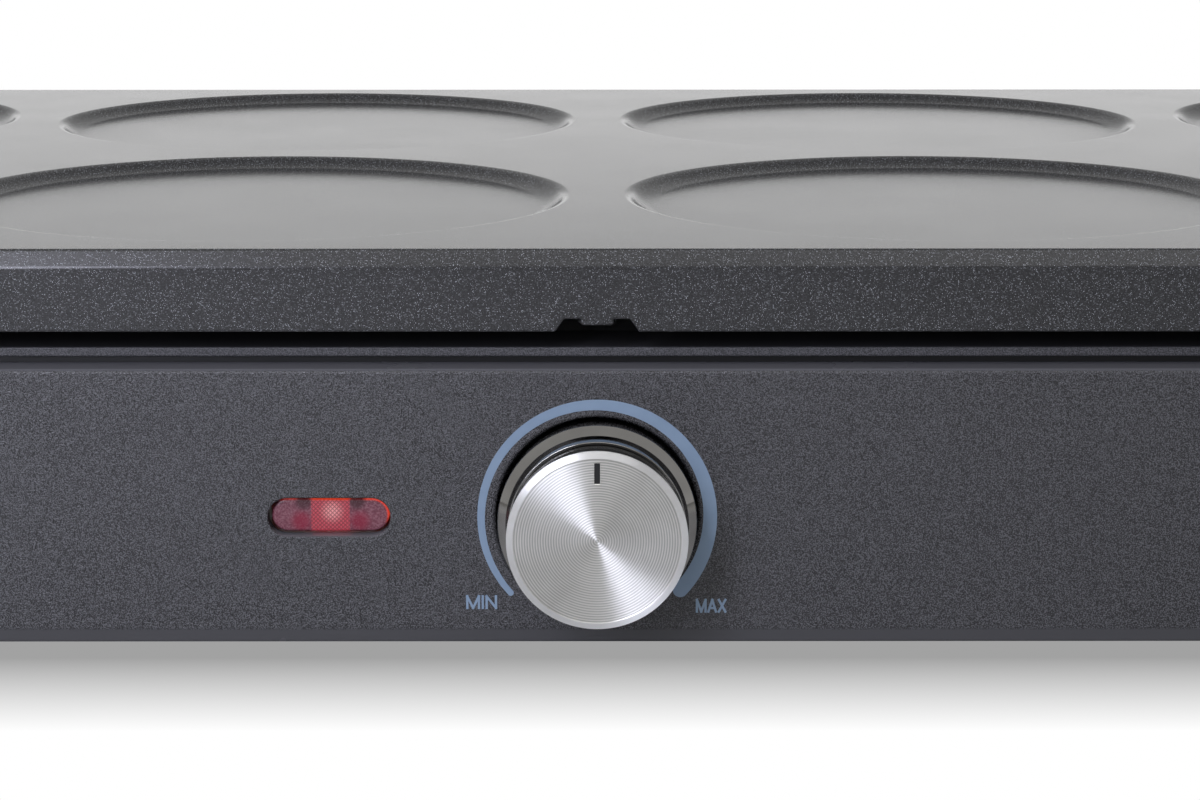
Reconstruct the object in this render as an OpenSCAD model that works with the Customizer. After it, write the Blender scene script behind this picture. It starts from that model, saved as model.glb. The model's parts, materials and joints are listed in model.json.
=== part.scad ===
// Electric teppanyaki grill with round pancake moulds: a lift-off cast plate on a
// moulded base with a tubular heater, a turning thermostat knob and a pilot light.
// Millimetres. +X to the right, +Y to the back, +Z up, floor at z = 0.

/* [Griddle plate] */
// Moulds along the length of the plate
mould_cols = 4; // [3:1:5]
// Rows of moulds across the depth of the plate
mould_rows = 2; // [2:1:3]
// Mould diameter, across the outer edge of its rounded shoulder
mould_d = 119; // [100:1:140]
// Depth of a mould below the top of the plate
mould_depth = 3; // [2:0.25:5]
// Radius of the rounded shoulder at the mould's mouth
mould_shoulder_r = 2; // [1.5:0.5:4]
// Radius of the fillet at the mould's floor
mould_floor_r = 3.5; // [3.5:0.5:8]
// Flat land between neighbouring columns of moulds
mould_gap_x = 10; // [8:1:30]
// Flat land between neighbouring rows of moulds
mould_gap_y = 9; // [6:1:30]
// Flat land from a mould to the edge of the plate
plate_margin = 10.5; // [7:0.5:20]
// Thickness of the plate's deck
deck_t = 7.5; // [6.5:0.25:8.5]
// Height of the plate's side skirt, top to bottom
skirt_h = 14; // [13:0.5:20]
// Wall thickness of the skirt
skirt_t = 3; // [2:0.25:4]
// Radius of the plate's rounded top edge
plate_edge_r = 4; // [2:0.5:5]
// Radius of the plate's corners in plan
plate_corner_r = 40; // [36:1:60]
// Width of the notch under the front skirt, at its mouth
notch_w = 14.2; // [10:0.2:30]
// Height of the notch
notch_h = 2.2; // [1.5:0.1:4]
// Sideways run of each sloping end of the notch
notch_run = 1.5; // [0.5:0.1:3]
// Width of the tab that hangs in the notch, at its face
tab_w = 5; // [3:0.2:6]
// Width of that tab at its back
tab_root_w = 6.8; // [6:0.2:8]
// Height of that tab
tab_h = 1.1; // [0.6:0.1:1.4]
// Thickness of the ribs cast under the plate
rib_t = 2.5; // [2:0.25:4]
// Depth of those ribs below the deck
rib_h = 4; // [2:0.25:5]

/* [Base housing] */
// Height of the housing's front panel
panel_h = 48; // [46:1:60]
// How far the housing stands outside the plate's skirt
base_overhang = 1; // [0:0.5:4]
// Wall thickness of the housing
wall_t = 2.6; // [2:0.2:3.2]
// Thickness of the housing's floor
floor_t = 2.6; // [2:0.2:4]
// Width of the lip that turns in at the housing's top
lip_w = 7.25; // [6:0.25:7.25]
// Thickness of the lip
lip_t = 2.2; // [1.6:0.2:3]
// Radius of the lip's front edge
lip_edge_r = 1.2; // [0.6:0.1:1.6]
// Radius of the housing's bottom edge
heel_r = 2; // [1:0.25:4]
// Outer diameter of the housing's screw posts
post_d = 9; // [8:0.5:11]
// Width of one vent slot in the floor
vent_w = 3; // [2:0.5:4]
// Length of one vent slot
vent_l = 46; // [20:1:60]
// Vent slots in each of the two groups
vent_count = 9; // [3:1:11]

/* [Top frame] */
// Distance that the frame's edge stands back from the panel
frame_inset = 5; // [4:0.25:5.5]
// Height of the shadow gap between the housing's lip and the frame
shadow_gap = 1.3; // [0.8:0.1:2.5]
// Thickness of the frame's flange
frame_t = 1.7; // [1.4:0.1:2.5]
// Width of the flange's flat deck
frame_deck_w = 16; // [15:0.5:20]
// Width of the rebate that the reflector's flange lies in
rebate_w = 9; // [7:0.5:12]
// Depth of the frame's wall that reaches into the housing
spigot_h = 7; // [4:0.5:8]
// Thickness of that wall
spigot_t = 2.2; // [1.6:0.2:3]
// Height of the open gap between the frame and the plate's skirt
plate_gap = 3.3; // [2:0.1:6]

/* [Plate rests] */
// Diameter of a plate rest's shoulder
rest_d = 12; // [10:0.5:13]
// Diameter of the locating pin on a rest
rest_pin_d = 7; // [5:0.5:8]
// Length of that pin
rest_pin_h = 3.2; // [2:0.2:3.6]
// Length of the plate's cast boss below its deck
boss_h = 5; // [4.2:0.2:6]
// Distance of a rest from the end of the frame
rest_end = 60; // [48:1:80]

/* [Feet and handles] */
// Diameter of a rubber foot
foot_d = 16; // [12:1:22]
// Height that a foot lifts the housing
foot_h = 4; // [2:0.5:8]
// Distance from the housing's side to a foot's centre
foot_inset = 34; // [30:1:60]
// Distance between the two arms of a handle
handle_span = 120; // [100:1:150]
// How far a handle stands out from the end wall
handle_reach = 42; // [36:1:55]
// Thickness of the handle's grip, seen from above
handle_t = 13; // [10:0.5:15]
// Height of the handle's grip
handle_h = 18; // [14:0.5:22]
// Centreline radius of the handle's bends
handle_bend_r = 16; // [12:0.5:20]

/* [Reflector and heater] */
// Sheet thickness of the reflector pan
pan_t = 0.8; // [0.5:0.1:1.2]
// Depth of the reflector pan below its flange
pan_depth = 14; // [10:0.5:15]
// Diameter of the heater tube
heater_d = 6.6; // [5:0.2:8]
// Gap between the heater and the plate's underside
heater_gap = 0.4; // [0.2:0.1:1]
// Gap from the reflector's side wall to the outer heater leg's centre
heater_side_gap = 24; // [20:1:30]
// Gap from the reflector's end wall to the heater's bends
heater_end_gap = 18; // [14:1:30]
// Width of a heater saddle
saddle_w = 9; // [8:0.25:9.5]
// Sheet thickness of a heater saddle
saddle_t = 1.2; // [0.8:0.1:2]

/* [Control knob] */
// Depth of the dial's centre below the top of the panel
dial_drop = 25.8; // [24:0.2:27]
// Diameter of the round well in the panel
well_d = 34.8; // [34.6:0.1:40]
// Depth of the well
well_depth = 6; // [5.6:0.2:8]
// Radius of the well's rounded edge
well_edge_r = 0.8; // [0.4:0.1:2]
// Diameter of the flange at the back of the knob
knob_flange_d = 34; // [32.4:0.1:34]
// Height of that flange in front of the panel
knob_flange_h = 4.3; // [2:0.1:5]
// Diameter of the tapered collar between the flange and the barrel
knob_collar_d = 31; // [30.4:0.1:31.6]
// Height of the collar, from the flange's bevel to the groove
knob_collar_h = 3; // [2:0.1:4]
// Diameter of the knob's barrel
knob_d = 29.2; // [26:0.2:29.2]
// Diameter of the knob's aluminium cap
cap_d = 30.4; // [28:0.2:31]
// Thickness of the cap
cap_t = 1.2; // [1:0.1:2]
// Distance from the panel to the face of the knob
knob_reach = 17.2; // [15.6:0.2:22]
// Diameter of the thermostat's shaft
shaft_d = 6; // [5:0.25:6.5]

/* [Pilot light] */
// Distance of the pilot light from the knob's centre
lens_offset = 46; // [40:1:60]
// Length of the lens
lens_l = 20.2; // [14:0.2:26]
// Height of the lens
lens_h = 5.8; // [4.5:0.1:8]
// Depth of the lens's face below the panel
lens_sink = 1.3; // [0.1:0.1:1.6]

/* [Cord gland] */
// Diameter of the gland's cord hole
gland_bore_d = 7.4; // [6:0.2:8]
// Outside diameter of the gland's neck
gland_neck_d = 11.8; // [11:0.2:14]
// Thickness of the gland's outer collar
gland_collar_t = 2.5; // [1.5:0.25:4]
// Distance of the gland from the middle of the back
gland_offset = 150; // [120:1:160]

/* [Hidden] */
$fn = 48;

// Clearances
slip = 0.3;       // between pieces that only lie side by side
running = 0.05;   // radial, between the shaft and its bush
touch = 0.3;      // between the end of a lead and what it is joined to
cut = 1;          // how far a cutter reaches past the face it opens
fuse = 0.5;       // how far solids that are one piece reach into each other

// Heights, from the floor up
z_base = foot_h;
z_floor = z_base + floor_t;
z_lip = z_base + panel_h;
z_flange = z_lip + shadow_gap;
z_deck = z_flange + frame_t;
z_skirt = z_deck + plate_gap;
z_top = z_skirt + skirt_h;
z_under = z_top - deck_t;
z_dial = z_lip - dial_drop;
rebate_depth = 1;
rebate_floor_t = 3;
z_rebate = z_deck - rebate_depth;
z_pan = z_rebate + pan_t - pan_depth;
z_heater = z_under - heater_gap - heater_d / 2;
z_boss = z_under - boss_h;

// Plan sizes
pitch_x = mould_d + mould_gap_x;
pitch_y = mould_d + mould_gap_y;
plate_l = (mould_cols - 1) * pitch_x + mould_d + 2 * plate_margin;
plate_w = (mould_rows - 1) * pitch_y + mould_d + 2 * plate_margin;
base_l = plate_l + 2 * base_overhang;
base_w = plate_w + 2 * base_overhang;
base_r = plate_corner_r + base_overhang;
frame_l = base_l - 2 * frame_inset;
frame_w = base_w - 2 * frame_inset;
frame_r = base_r - frame_inset;
frame_ring_w = frame_deck_w + rebate_w;
pan_slip = 0.5;
pan_l = frame_l - 2 * (frame_deck_w + pan_slip);
pan_w = frame_w - 2 * (frame_deck_w + pan_slip);
pan_r = max(4 + rebate_w + pan_t, frame_r - frame_deck_w - pan_slip);
pan_in_l = pan_l - 2 * (rebate_w + pan_t);
pan_in_w = pan_w - 2 * (rebate_w + pan_t);
y_front = -base_w / 2;

// The part's origin lies under the middle of its outer box, knob and gland included
y_shift = (knob_reach - gland_collar_t) / 2;

// Heater path
heater_legs = 4;
leg_pitch = (pan_in_w - 2 * heater_side_gap) / (heater_legs - 1);
bend_r = leg_pitch / 2;
leg_x = pan_in_l / 2 - heater_end_gap - heater_d / 2 - bend_r;
elbow_r = 12;
elbow_x = -leg_x - 6;
pin_x = elbow_x - elbow_r;
bead_h = 9;
z_bead = z_pan - 3;
pin_d = 3;
pin_h = 9;
z_pin = z_bead - bead_h - pin_h;

// Screws
screw_d = 3;
screw_head_d = 6;
screw_head_h = 1.8;
pilot_d = 3.3;
clear_d = 3.6;
z_post = z_flange - 9;
post_inset = frame_inset + 8;
post_x = [base_l / 2 - 38, 100];
screw_sink = 6;

// Thermostat, measured inwards from the panel's face
well_floor_t = 2.2;
well_wall_t = 2.2;
stat_plate_t = 1.5;
stat_w = 34;
stat_h = 24;
stat_depth = 26;
stat_screw_d = 3.4;
stat_screw_gap = stat_w - 6;
stat_head_d = 6.4;
stat_head_h = 1.7;
stat_lug = 3;
bush_d = 10;
shaft_flat = 1.5;
shaft_tip = knob_reach - cap_t - 3;
y_stat = y_front + well_depth + well_floor_t;
y_stat_back = y_stat + stat_plate_t + stat_depth;
tab_t = 0.8;
tab_l = 7;
tab_w_stat = 6.3;

// Pilot lamp
lens_slip = 0.4;
lens_flange = 1.5;
lens_flange_t = 1.2;
y_lens_back = y_front + wall_t + lens_flange_t;
lamp_d = 5.4;
lamp_l = 14;
holder_depth = 10;
holder_wall = 1.4;

// Terminal block, by the gland
block_l = 32;
block_w = 16;
block_h = 13;
block_pole = 10;
block_y = base_w / 2 - 46;

// Sensor bulb, between the two middle heater legs
bulb_d = 4.4;
bulb_l = 56;
bulb_y = 0;
bulb_x = 40;
bulb_z = z_under - 6;
capillary_d = 1.8;
lead_d = 2.4;

capillary_start = [bulb_x + bulb_l / 2 + touch, bulb_y, bulb_z];
capillary_hole = [bulb_x + bulb_l / 2 + 16, bulb_y];

// Feet and handles
foot_sink = 1;
handle_screw_d = 4;
handle_screw_l = 14;
handle_screw_head = [8, 2.4];
handle_corner_r = 4;
handle_pad_t = 3;
handle_pad_margin = [9, 6];
z_handle = z_base + 30;

// Knob, along its axis from the panel's face
knob_flange_back = 2.5;
knob_edge_r = 0.4;
knob_taper = 0.4;
knob_groove_w = 0.4;
knob_groove_depth = 0.5;
knob_shell_t = 1.8;
knob_rib_t = 1.2;
knob_crown_t = 2;
hub_d = 11;
hub_back = well_depth - 1.2;
clip_t = 0.4;
clip_l = 8;
clip_slip = 0.02;
cap_bevel = 1.1;
cap_sunk = 0.15;
cap_edge = 0.45;
pointer_w = 0.9;
pointer_l = 3.2;
pointer_r = cap_d / 2 - 2.1;
pointer_sink = 0.4;
pointer_slip = 0.03;

// Where the leads end
z_gland = z_dial;
z_block = z_floor + block_h;
block_hole_z = z_floor + 4;
block_front = block_y - block_w / 2 - touch;
earth_x = -gland_offset + 40;
earth_y = block_y - 30;
earth_stud_d = 4;
earth_stud_l = 9;
stat_tab_gap = 18;
stat_tab_y = y_stat_back + tab_l + touch;
stat_tab_z = z_dial - 6;
stat_nozzle = [stat_w / 2 - 5, y_stat_back + fuse + 2.5 + touch, z_dial + 5];
lamp_lead_d = 1.8;
lamp_lead_gap = 8;
lamp_back = y_lens_back + holder_depth;
heater_y = (heater_legs - 1) / 2 * leg_pitch;
z_joint = z_pin + pin_h / 2;
z_lead = z_floor + 4;

// Helpers

// Points of an arc about c from angle a to angle b
function arc(c, r, a, b, n = 5) =
    [for (i = [0:n]) c + r * [cos(a + (b - a) * i / n), sin(a + (b - a) * i / n)]];

function unit(v) = v / norm(v);

// One point of a smooth curve through p1 and p2, with p0 and p3 as neighbours
function blend(p0, p1, p2, p3, t) =
    0.5 * (2 * p1 + (p2 - p0) * t + (2 * p0 - 5 * p1 + 4 * p2 - p3) * t * t
    + (3 * p1 - p0 - 3 * p2 + p3) * t * t * t);

// A smooth route through hand-chosen points, with n steps between neighbours
function route(pts, n = 4) = [
    for (i = [0:len(pts) - 2], k = [0:n - 1])
        blend(pts[max(i - 1, 0)], pts[i], pts[i + 1], pts[min(i + 2, len(pts) - 1)], k / n),
    pts[len(pts) - 1]
];

function tangent(p, i) =
    unit(p[min(i + 1, len(p) - 1)] - p[max(i - 1, 0)]);

// Sideways directions carried along a route without twist
function carried(p) = [
    for (i = 0, s = unit(cross(tangent(p, 0), [0.31, 0.52, 0.79]));
         i < len(p);
         i = i + 1,
         s = i < len(p) ? unit(s - (s * tangent(p, i)) * tangent(p, i)) : s) s
];

// A round lead of diameter d along a route
module tube(p, d, sides = 8) {
    side = carried(p);
    n = len(p);
    pts = [
        for (i = [0:n - 1], k = [0:sides - 1])
            let (t = tangent(p, i), s = side[i], u = cross(t, s), a = 360 * k / sides)
                p[i] + d / 2 * (cos(a) * s + sin(a) * u)
    ];
    walls = [
        for (i = [0:n - 2], k = [0:sides - 1])
            let (k2 = (k + 1) % sides, a = i * sides, b = a + sides)
                each [[a + k, b + k, b + k2], [a + k, b + k2, a + k2]]
    ];
    near_cap = [for (k = [1:sides - 2]) [0, k, k + 1]];
    far = (n - 1) * sides;
    far_cap = [for (k = [1:sides - 2]) [far, far + k + 1, far + k]];
    polyhedron(pts, concat(walls, near_cap, far_cap));
}

// A flat rectangle with round corners
module round_rect(l, w, r) {
    square([l - 2 * r, w], center = true);
    square([l, w - 2 * r], center = true);
    for (x = [-1, 1], y = [-1, 1])
        translate([x * (l / 2 - r), y * (w / 2 - r)]) circle(r);
}

// A flat slot with round ends, along x
module slot(l, w) {
    square([l - w, w], center = true);
    for (x = [-1, 1]) translate([x * (l - w) / 2, 0]) circle(d = w);
}

// Carries a wall profile round a rounded rectangle. The profile's x is the distance
// outwards from the outline, so it is negative inside, and its y is the height.
module around(l, w, r) {
    for (side = [[0, w, l], [180, w, l], [90, l, w], [270, l, w]])
        rotate([0, 0, side[0]])
            translate([r - side[2] / 2, side[1] / 2, 0])
                rotate([90, 0, 90])
                    linear_extrude(side[2] - 2 * r) children();
    for (corner = [[1, 1, 0], [-1, 1, 90], [-1, -1, 180], [1, -1, 270]])
        translate([corner[0] * (l / 2 - r), corner[1] * (w / 2 - r), 0])
            rotate([0, 0, corner[2]])
                rotate_extrude(angle = 90) translate([r, 0]) children();
}

// Repeats children at the four places (+-x, +-y)
module four(x, y) {
    for (sx = [-1, 1], sy = [-1, 1]) translate([sx * x, sy * y, 0]) children();
}

// Repeats children at every mould's centre
module at_moulds() {
    for (i = [0:mould_cols - 1], j = [0:mould_rows - 1])
        translate([(i - (mould_cols - 1) / 2) * pitch_x, (j - (mould_rows - 1) / 2) * pitch_y, 0])
            children();
}

// Repeats children at every screw post
module at_posts() {
    for (x = post_x) four(x, base_w / 2 - post_inset) children();
}

// Repeats children at every plate rest
module at_rests() {
    four(frame_l / 2 - rest_end, frame_w / 2 - frame_deck_w / 2) children();
}

// Turns a piece that is drawn along +Z so that it points out of the front panel,
// with its foot on the panel's face at the dial's centre
module at_dial() {
    translate([0, y_front, z_dial]) rotate([90, 0, 0]) children();
}

// The same, at the pilot light
module at_lens() {
    translate([-lens_offset, 0, 0]) at_dial() children();
}

// A pan-head screw, head up, its seat at z = 0 and its shank below
module screw(l, d = screw_d, head_d = screw_head_d, head_h = screw_head_h) {
    rotate_extrude()
        polygon(concat(
            [[0, -l], [d / 2 - 0.5, -l], [d / 2, -l + 0.8], [d / 2, 0], [head_d / 2, 0]],
            arc([head_d / 2 - head_h * 0.7, head_h * 0.3], head_h * 0.7, 0, 90, 4),
            [[0, head_h]]));
}

// Griddle plate

// Cutter for one mould: a flat floor, a fillet, and a shoulder rounded into the deck
module mould_cutter() {
    rise = mould_depth - mould_shoulder_r - mould_floor_r;
    reach = mould_shoulder_r + mould_floor_r;
    lean = asin(-rise / reach);
    run = reach * cos(lean);
    floor_centre = [mould_d / 2 - run, mould_floor_r - mould_depth];
    shoulder_centre = [mould_d / 2, -mould_shoulder_r];
    rotate_extrude($fn = 96)
        polygon(concat(
            [[0, cut], [0, -mould_depth]],
            arc(floor_centre, mould_floor_r, 270, 360 - lean, 6),
            arc(shoulder_centre, mould_shoulder_r, 180 - lean, 90, 6),
            [[mould_d / 2, cut]]));
}

// Cutter for the trapezoid notch, leaving the tab in its middle, which widens towards the back
module notch_cutter() {
    face = -plate_w / 2;
    difference() {
        translate([0, face - cut, z_skirt]) rotate([90, 0, 180]) mirror([1, 0, 0])
            linear_extrude(skirt_t + 2 * cut)
                polygon([
                    [-notch_w / 2, -cut], [notch_w / 2, -cut], [notch_w / 2, 0],
                    [notch_w / 2 - notch_run, notch_h], [notch_run - notch_w / 2, notch_h],
                    [-notch_w / 2, 0]
                ]);
        translate([0, face, z_skirt + notch_h - tab_h])
            linear_extrude(tab_h + cut)
                polygon([
                    [-tab_w / 2, 0], [tab_w / 2, 0],
                    [tab_root_w / 2, skirt_t], [-tab_root_w / 2, skirt_t]
                ]);
    }
}

// Ribs that straddle each leg of the heater
module plate_ribs() {
    rib_off = heater_d / 2 + 1.5 + rib_t / 2;
    for (leg = [0:heater_legs - 1], side = [-1, 1])
        translate([-leg_x + 10, (leg - (heater_legs - 1) / 2) * leg_pitch + side * rib_off - rib_t / 2,
                   z_under - rib_h])
            cube([2 * leg_x - 20, rib_t, rib_h + fuse]);
}

module griddle_plate() {
    color("#4a4a4d") difference() {
        union() {
            difference() {
                union() {
                    around(plate_l, plate_w, plate_corner_r)
                        polygon(concat(
                            [[-skirt_t, z_skirt], [0, z_skirt]],
                            arc([-plate_edge_r, z_top - plate_edge_r], plate_edge_r, 0, 90, 6),
                            [[-plate_edge_r - 1, z_top], [-plate_edge_r - 1, z_under],
                             [-skirt_t, z_under]]));
                    translate([0, 0, z_under])
                        linear_extrude(deck_t)
                            round_rect(plate_l - 2 * plate_edge_r - 2, plate_w - 2 * plate_edge_r - 2,
                                       plate_corner_r - plate_edge_r - 1);
                }
                translate([0, 0, z_top]) at_moulds() mould_cutter();
                notch_cutter();
            }
            plate_ribs();
            at_rests() translate([0, 0, z_boss]) cylinder(d = rest_d + 2, h = boss_h + fuse);
        }
        at_rests() translate([0, 0, z_boss - cut])
            cylinder(d = rest_pin_d + 2 * slip, h = rest_pin_h + slip + cut);
    }
}

module plate_rests() {
    color("#d8d4c8") at_rests() difference() {
        union() {
            translate([0, 0, z_deck]) cylinder(d = rest_d, h = z_boss - z_deck);
            translate([0, 0, z_boss - fuse]) cylinder(d = rest_pin_d, h = rest_pin_h + fuse);
        }
        translate([0, 0, z_deck - cut]) cylinder(d = pilot_d, h = z_boss - z_deck + cut);
    }
}

module plate_rest_screws() {
    color("silver") at_rests()
        translate([0, 0, z_flange]) mirror([0, 0, 1]) screw(z_boss - z_flange - 0.8);
}

// Top frame

module top_frame() {
    edge = 0.3;
    z_rim = z_rebate - rebate_floor_t;
    spigot_x = lip_w - frame_inset + slip;
    ledge_x = frame_deck_w - 2;
    color("#2f2f33") difference() {
        union() {
            around(frame_l, frame_w, frame_r)
                polygon([
                    [0, z_flange + edge], [0, z_deck - edge], [-edge, z_deck],
                    [-frame_deck_w, z_deck], [-frame_deck_w, z_rebate],
                    [-frame_ring_w, z_rebate], [-frame_ring_w, z_rim],
                    [-ledge_x, z_rim], [-ledge_x, z_flange],
                    [-spigot_x - spigot_t, z_flange], [-spigot_x - spigot_t, z_flange - spigot_h],
                    [-spigot_x, z_flange - spigot_h], [-spigot_x, z_flange], [-edge, z_flange]
                ]);
            at_posts() translate([0, 0, z_post]) cylinder(d = post_d - 1, h = z_flange - z_post + fuse);
        }
        at_posts() translate([0, 0, z_post - cut]) cylinder(d = pilot_d, h = z_flange - z_post + cut - 0.5);
        at_rests() translate([0, 0, z_flange - cut]) cylinder(d = clear_d, h = frame_t + 2 * cut);
        at_pan_screws() translate([0, 0, z_rebate - rebate_floor_t - cut])
            cylinder(d = pilot_d, h = rebate_floor_t + 2 * cut);
    }
}

// Repeats children at the screws that hold the reflector's flange
module at_pan_screws() {
    four(pan_l / 4, pan_w / 2 - rebate_w / 2) children();
    for (x = [-1, 1]) translate([x * (pan_l / 2 - rebate_w / 2), 0, 0]) children();
}

module frame_screws() {
    color("silver") at_posts()
        translate([0, 0, z_base + screw_sink]) mirror([0, 0, 1])
            screw(z_post - z_base - screw_sink + 6);
}

// Base housing

module housing_shell() {
    joint = max(wall_t, heel_r) + 1;
    around(base_l, base_w, base_r)
        polygon(concat(
            [[-joint, z_floor], [-joint, z_base]],
            arc([-heel_r, z_base + heel_r], heel_r, 270, 360, 5),
            arc([-lip_edge_r, z_lip - lip_edge_r], lip_edge_r, 0, 90, 5),
            [[-lip_w, z_lip], [-lip_w, z_lip - lip_t], [-wall_t, z_lip - lip_t], [-wall_t, z_floor]]));
    translate([0, 0, z_base])
        linear_extrude(floor_t)
            round_rect(base_l - 2 * joint, base_w - 2 * joint, base_r - joint);
}

module dial_well_cutter() {
    translate([0, 0, -well_depth]) cylinder(d = well_d, h = well_depth + cut);
    rotate_extrude($fn = 96)
        difference() {
            translate([well_d / 2 - cut, -well_edge_r]) square([well_edge_r + cut, well_edge_r + cut]);
            translate([well_d / 2 + well_edge_r, -well_edge_r]) circle(well_edge_r);
        }
    translate([0, 0, -well_depth - well_floor_t - cut])
        cylinder(d = bush_d + 2 * slip, h = well_floor_t + 2 * cut);
    for (x = [-1, 1]) translate([x * stat_screw_gap / 2, 0, -well_depth]) {
        translate([0, 0, -well_floor_t - cut])
            cylinder(d = stat_screw_d + 2 * slip, h = well_floor_t + 2 * cut);
        cylinder(d = stat_head_d + 2 * running, h = stat_head_h + running);
    }
}

module lens_slot_cutter() {
    translate([0, 0, -wall_t - cut])
        linear_extrude(wall_t + 2 * cut) slot(lens_l + 2 * lens_slip, lens_h + 2 * lens_slip);
}

// Vent slots, in two groups that stay clear of the parts inside
module vents() {
    vent_pitch = 2.5 * vent_w;
    for (x = [-1, 1], i = [0:vent_count - 1])
        translate([x * base_l / 4, (i - (vent_count - 1) / 2) * vent_pitch, z_base - cut])
            linear_extrude(floor_t + 2 * cut) slot(vent_l, vent_w);
}

module base_housing() {
    color("#3b3b40") difference() {
        union() {
            housing_shell();
            at_posts() translate([0, 0, z_base + fuse]) cylinder(d = post_d, h = z_post - z_base - fuse);
            at_dial() translate([0, 0, -well_depth - well_floor_t])
                cylinder(d = well_d + 2 * well_wall_t, h = well_depth + well_floor_t - wall_t + fuse);
        }
        at_posts() {
            translate([0, 0, z_base - cut]) cylinder(d = screw_head_d + 0.8, h = screw_sink + cut);
            translate([0, 0, z_base]) cylinder(d = clear_d, h = z_post - z_base + cut);
        }
        four(base_l / 2 - foot_inset, base_w / 2 - foot_inset)
            translate([0, 0, z_base - cut]) cylinder(d = foot_d + 2 * slip, h = cut + foot_sink);
        vents();
        at_dial() dial_well_cutter();
        at_lens() lens_slot_cutter();
        at_handle_screws() cylinder(d = handle_screw_d + 0.6, h = wall_t + 2 * cut);
        translate([-gland_offset, base_w / 2 - wall_t - cut, z_gland]) rotate([-90, 0, 0])
            cylinder(d = gland_neck_d + 2 * slip, h = wall_t + 2 * cut);
    }
}

// Rubber feet

module rubber_feet() {
    color("#1c1c1c") four(base_l / 2 - foot_inset, base_w / 2 - foot_inset)
        rotate_extrude()
            polygon(concat([[0, 0]], arc([foot_d / 2 - 1.6, 1.2], 1.2, 270, 360, 4),
                [[foot_d / 2, foot_h], [foot_d / 2, foot_h + foot_sink], [0, foot_h + foot_sink]]));
}

// Handles

// Repeats children at the four handle screws, drawn along +Z outwards, foot inside the wall
module at_handle_screws() {
    for (end = [-1, 1], y = [-1, 1])
        translate([end * (base_l / 2 - wall_t - cut), y * handle_span / 2, z_handle])
            rotate([0, end * 90, 0]) children();
}

module grip_section() {
    round_rect(handle_t, handle_h, handle_corner_r);
}

// A U-shaped grip: two arms, two bends and a bar, on pads against the end wall
module right_handle() {
    bar_x = handle_reach - handle_t / 2;
    arm_l = bar_x - handle_bend_r;
    color("#2b2b2e") translate([base_l / 2, 0, z_handle]) difference() {
        union() {
            for (y = [-1, 1]) {
                translate([0, y * handle_span / 2, 0]) rotate([90, 0, 90]) {
                    linear_extrude(arm_l) grip_section();
                    linear_extrude(handle_pad_t)
                        round_rect(handle_t + handle_pad_margin[0], handle_h + handle_pad_margin[1],
                                   handle_corner_r + 2);
                }
                translate([arm_l, y * (handle_span / 2 - handle_bend_r), 0])
                    rotate([0, 0, y > 0 ? 0 : -90])
                        rotate_extrude(angle = 90) translate([handle_bend_r, 0]) grip_section();
            }
            translate([bar_x, handle_span / 2 - handle_bend_r, 0]) rotate([90, 0, 0])
                linear_extrude(handle_span - 2 * handle_bend_r) grip_section();
        }
        for (y = [-1, 1]) translate([-cut, y * handle_span / 2, 0]) rotate([0, 90, 0])
            cylinder(d = handle_screw_d + 0.3, h = handle_screw_l - wall_t + cut);
    }
}

module left_handle() {
    mirror([1, 0, 0]) right_handle();
}

module handle_screws() {
    color("silver") for (end = [-1, 1], y = [-1, 1])
        translate([end * (base_l / 2 - wall_t), y * handle_span / 2, z_handle])
            rotate([0, -end * 90, 0])
                screw(handle_screw_l - fuse, handle_screw_d, handle_screw_head[0], handle_screw_head[1]);
}

// Reflector pan

module reflector_pan() {
    fold = rebate_w + pan_t;
    color("#c9cacb") difference() {
        union() {
            around(pan_l, pan_w, pan_r)
                polygon([
                    [0, z_rebate], [0, z_rebate + pan_t], [-fold, z_rebate + pan_t],
                    [-fold, z_pan + pan_t], [-fold - 1, z_pan + pan_t], [-fold - 1, z_pan],
                    [-rebate_w, z_pan], [-rebate_w, z_rebate]
                ]);
            translate([0, 0, z_pan])
                linear_extrude(pan_t)
                    round_rect(pan_in_l - 2, pan_in_w - 2, pan_r - fold - 1);
        }
        at_pan_screws() translate([0, 0, z_rebate - cut]) cylinder(d = clear_d, h = pan_t + 2 * cut);
        at_heater_ends() translate([0, 0, z_pan - cut])
            cylinder(d = heater_d + 2 * slip, h = pan_t + 2 * cut);
        translate([capillary_hole[0], capillary_hole[1], z_pan - cut])
            cylinder(d = capillary_d + 1.2, h = pan_t + 2 * cut);
        translate([earth_x, earth_y, z_pan - cut])
            cylinder(d = earth_stud_d + 2 * slip, h = pan_t + 2 * cut);
    }
}

module pan_screws() {
    color("silver") at_pan_screws() translate([0, 0, z_rebate + pan_t]) screw(6, screw_d, 6, 1.6);
}

// Heater

// Repeats children where the heater's two ends go down through the reflector
module at_heater_ends() {
    for (y = [-1, 1]) translate([pin_x, y * heater_y, 0]) children();
}

// Place of one heater leg across the pan
function leg_y(leg) = (leg - (heater_legs - 1) / 2) * leg_pitch;

// Points of one end's elbow, from the upright end up to the leg
function elbow(y, n = 6) = [
    for (p = arc([elbow_x, z_heater - elbow_r], elbow_r, 180, 90, n)) [p[0], y, p[1]]
];

// Points of the half ring that joins one leg to the next
function bend(leg, n = 12) =
    let (right = leg % 2 == 0, x = right ? leg_x : -leg_x, y = (leg_y(leg) + leg_y(leg + 1)) / 2)
        [for (p = arc([x, y], bend_r, right ? -90 : 270, 90, n)) [p[0], p[1], z_heater]];

function reversed(list) = [for (i = [len(list) - 1:-1:0]) list[i]];

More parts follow.
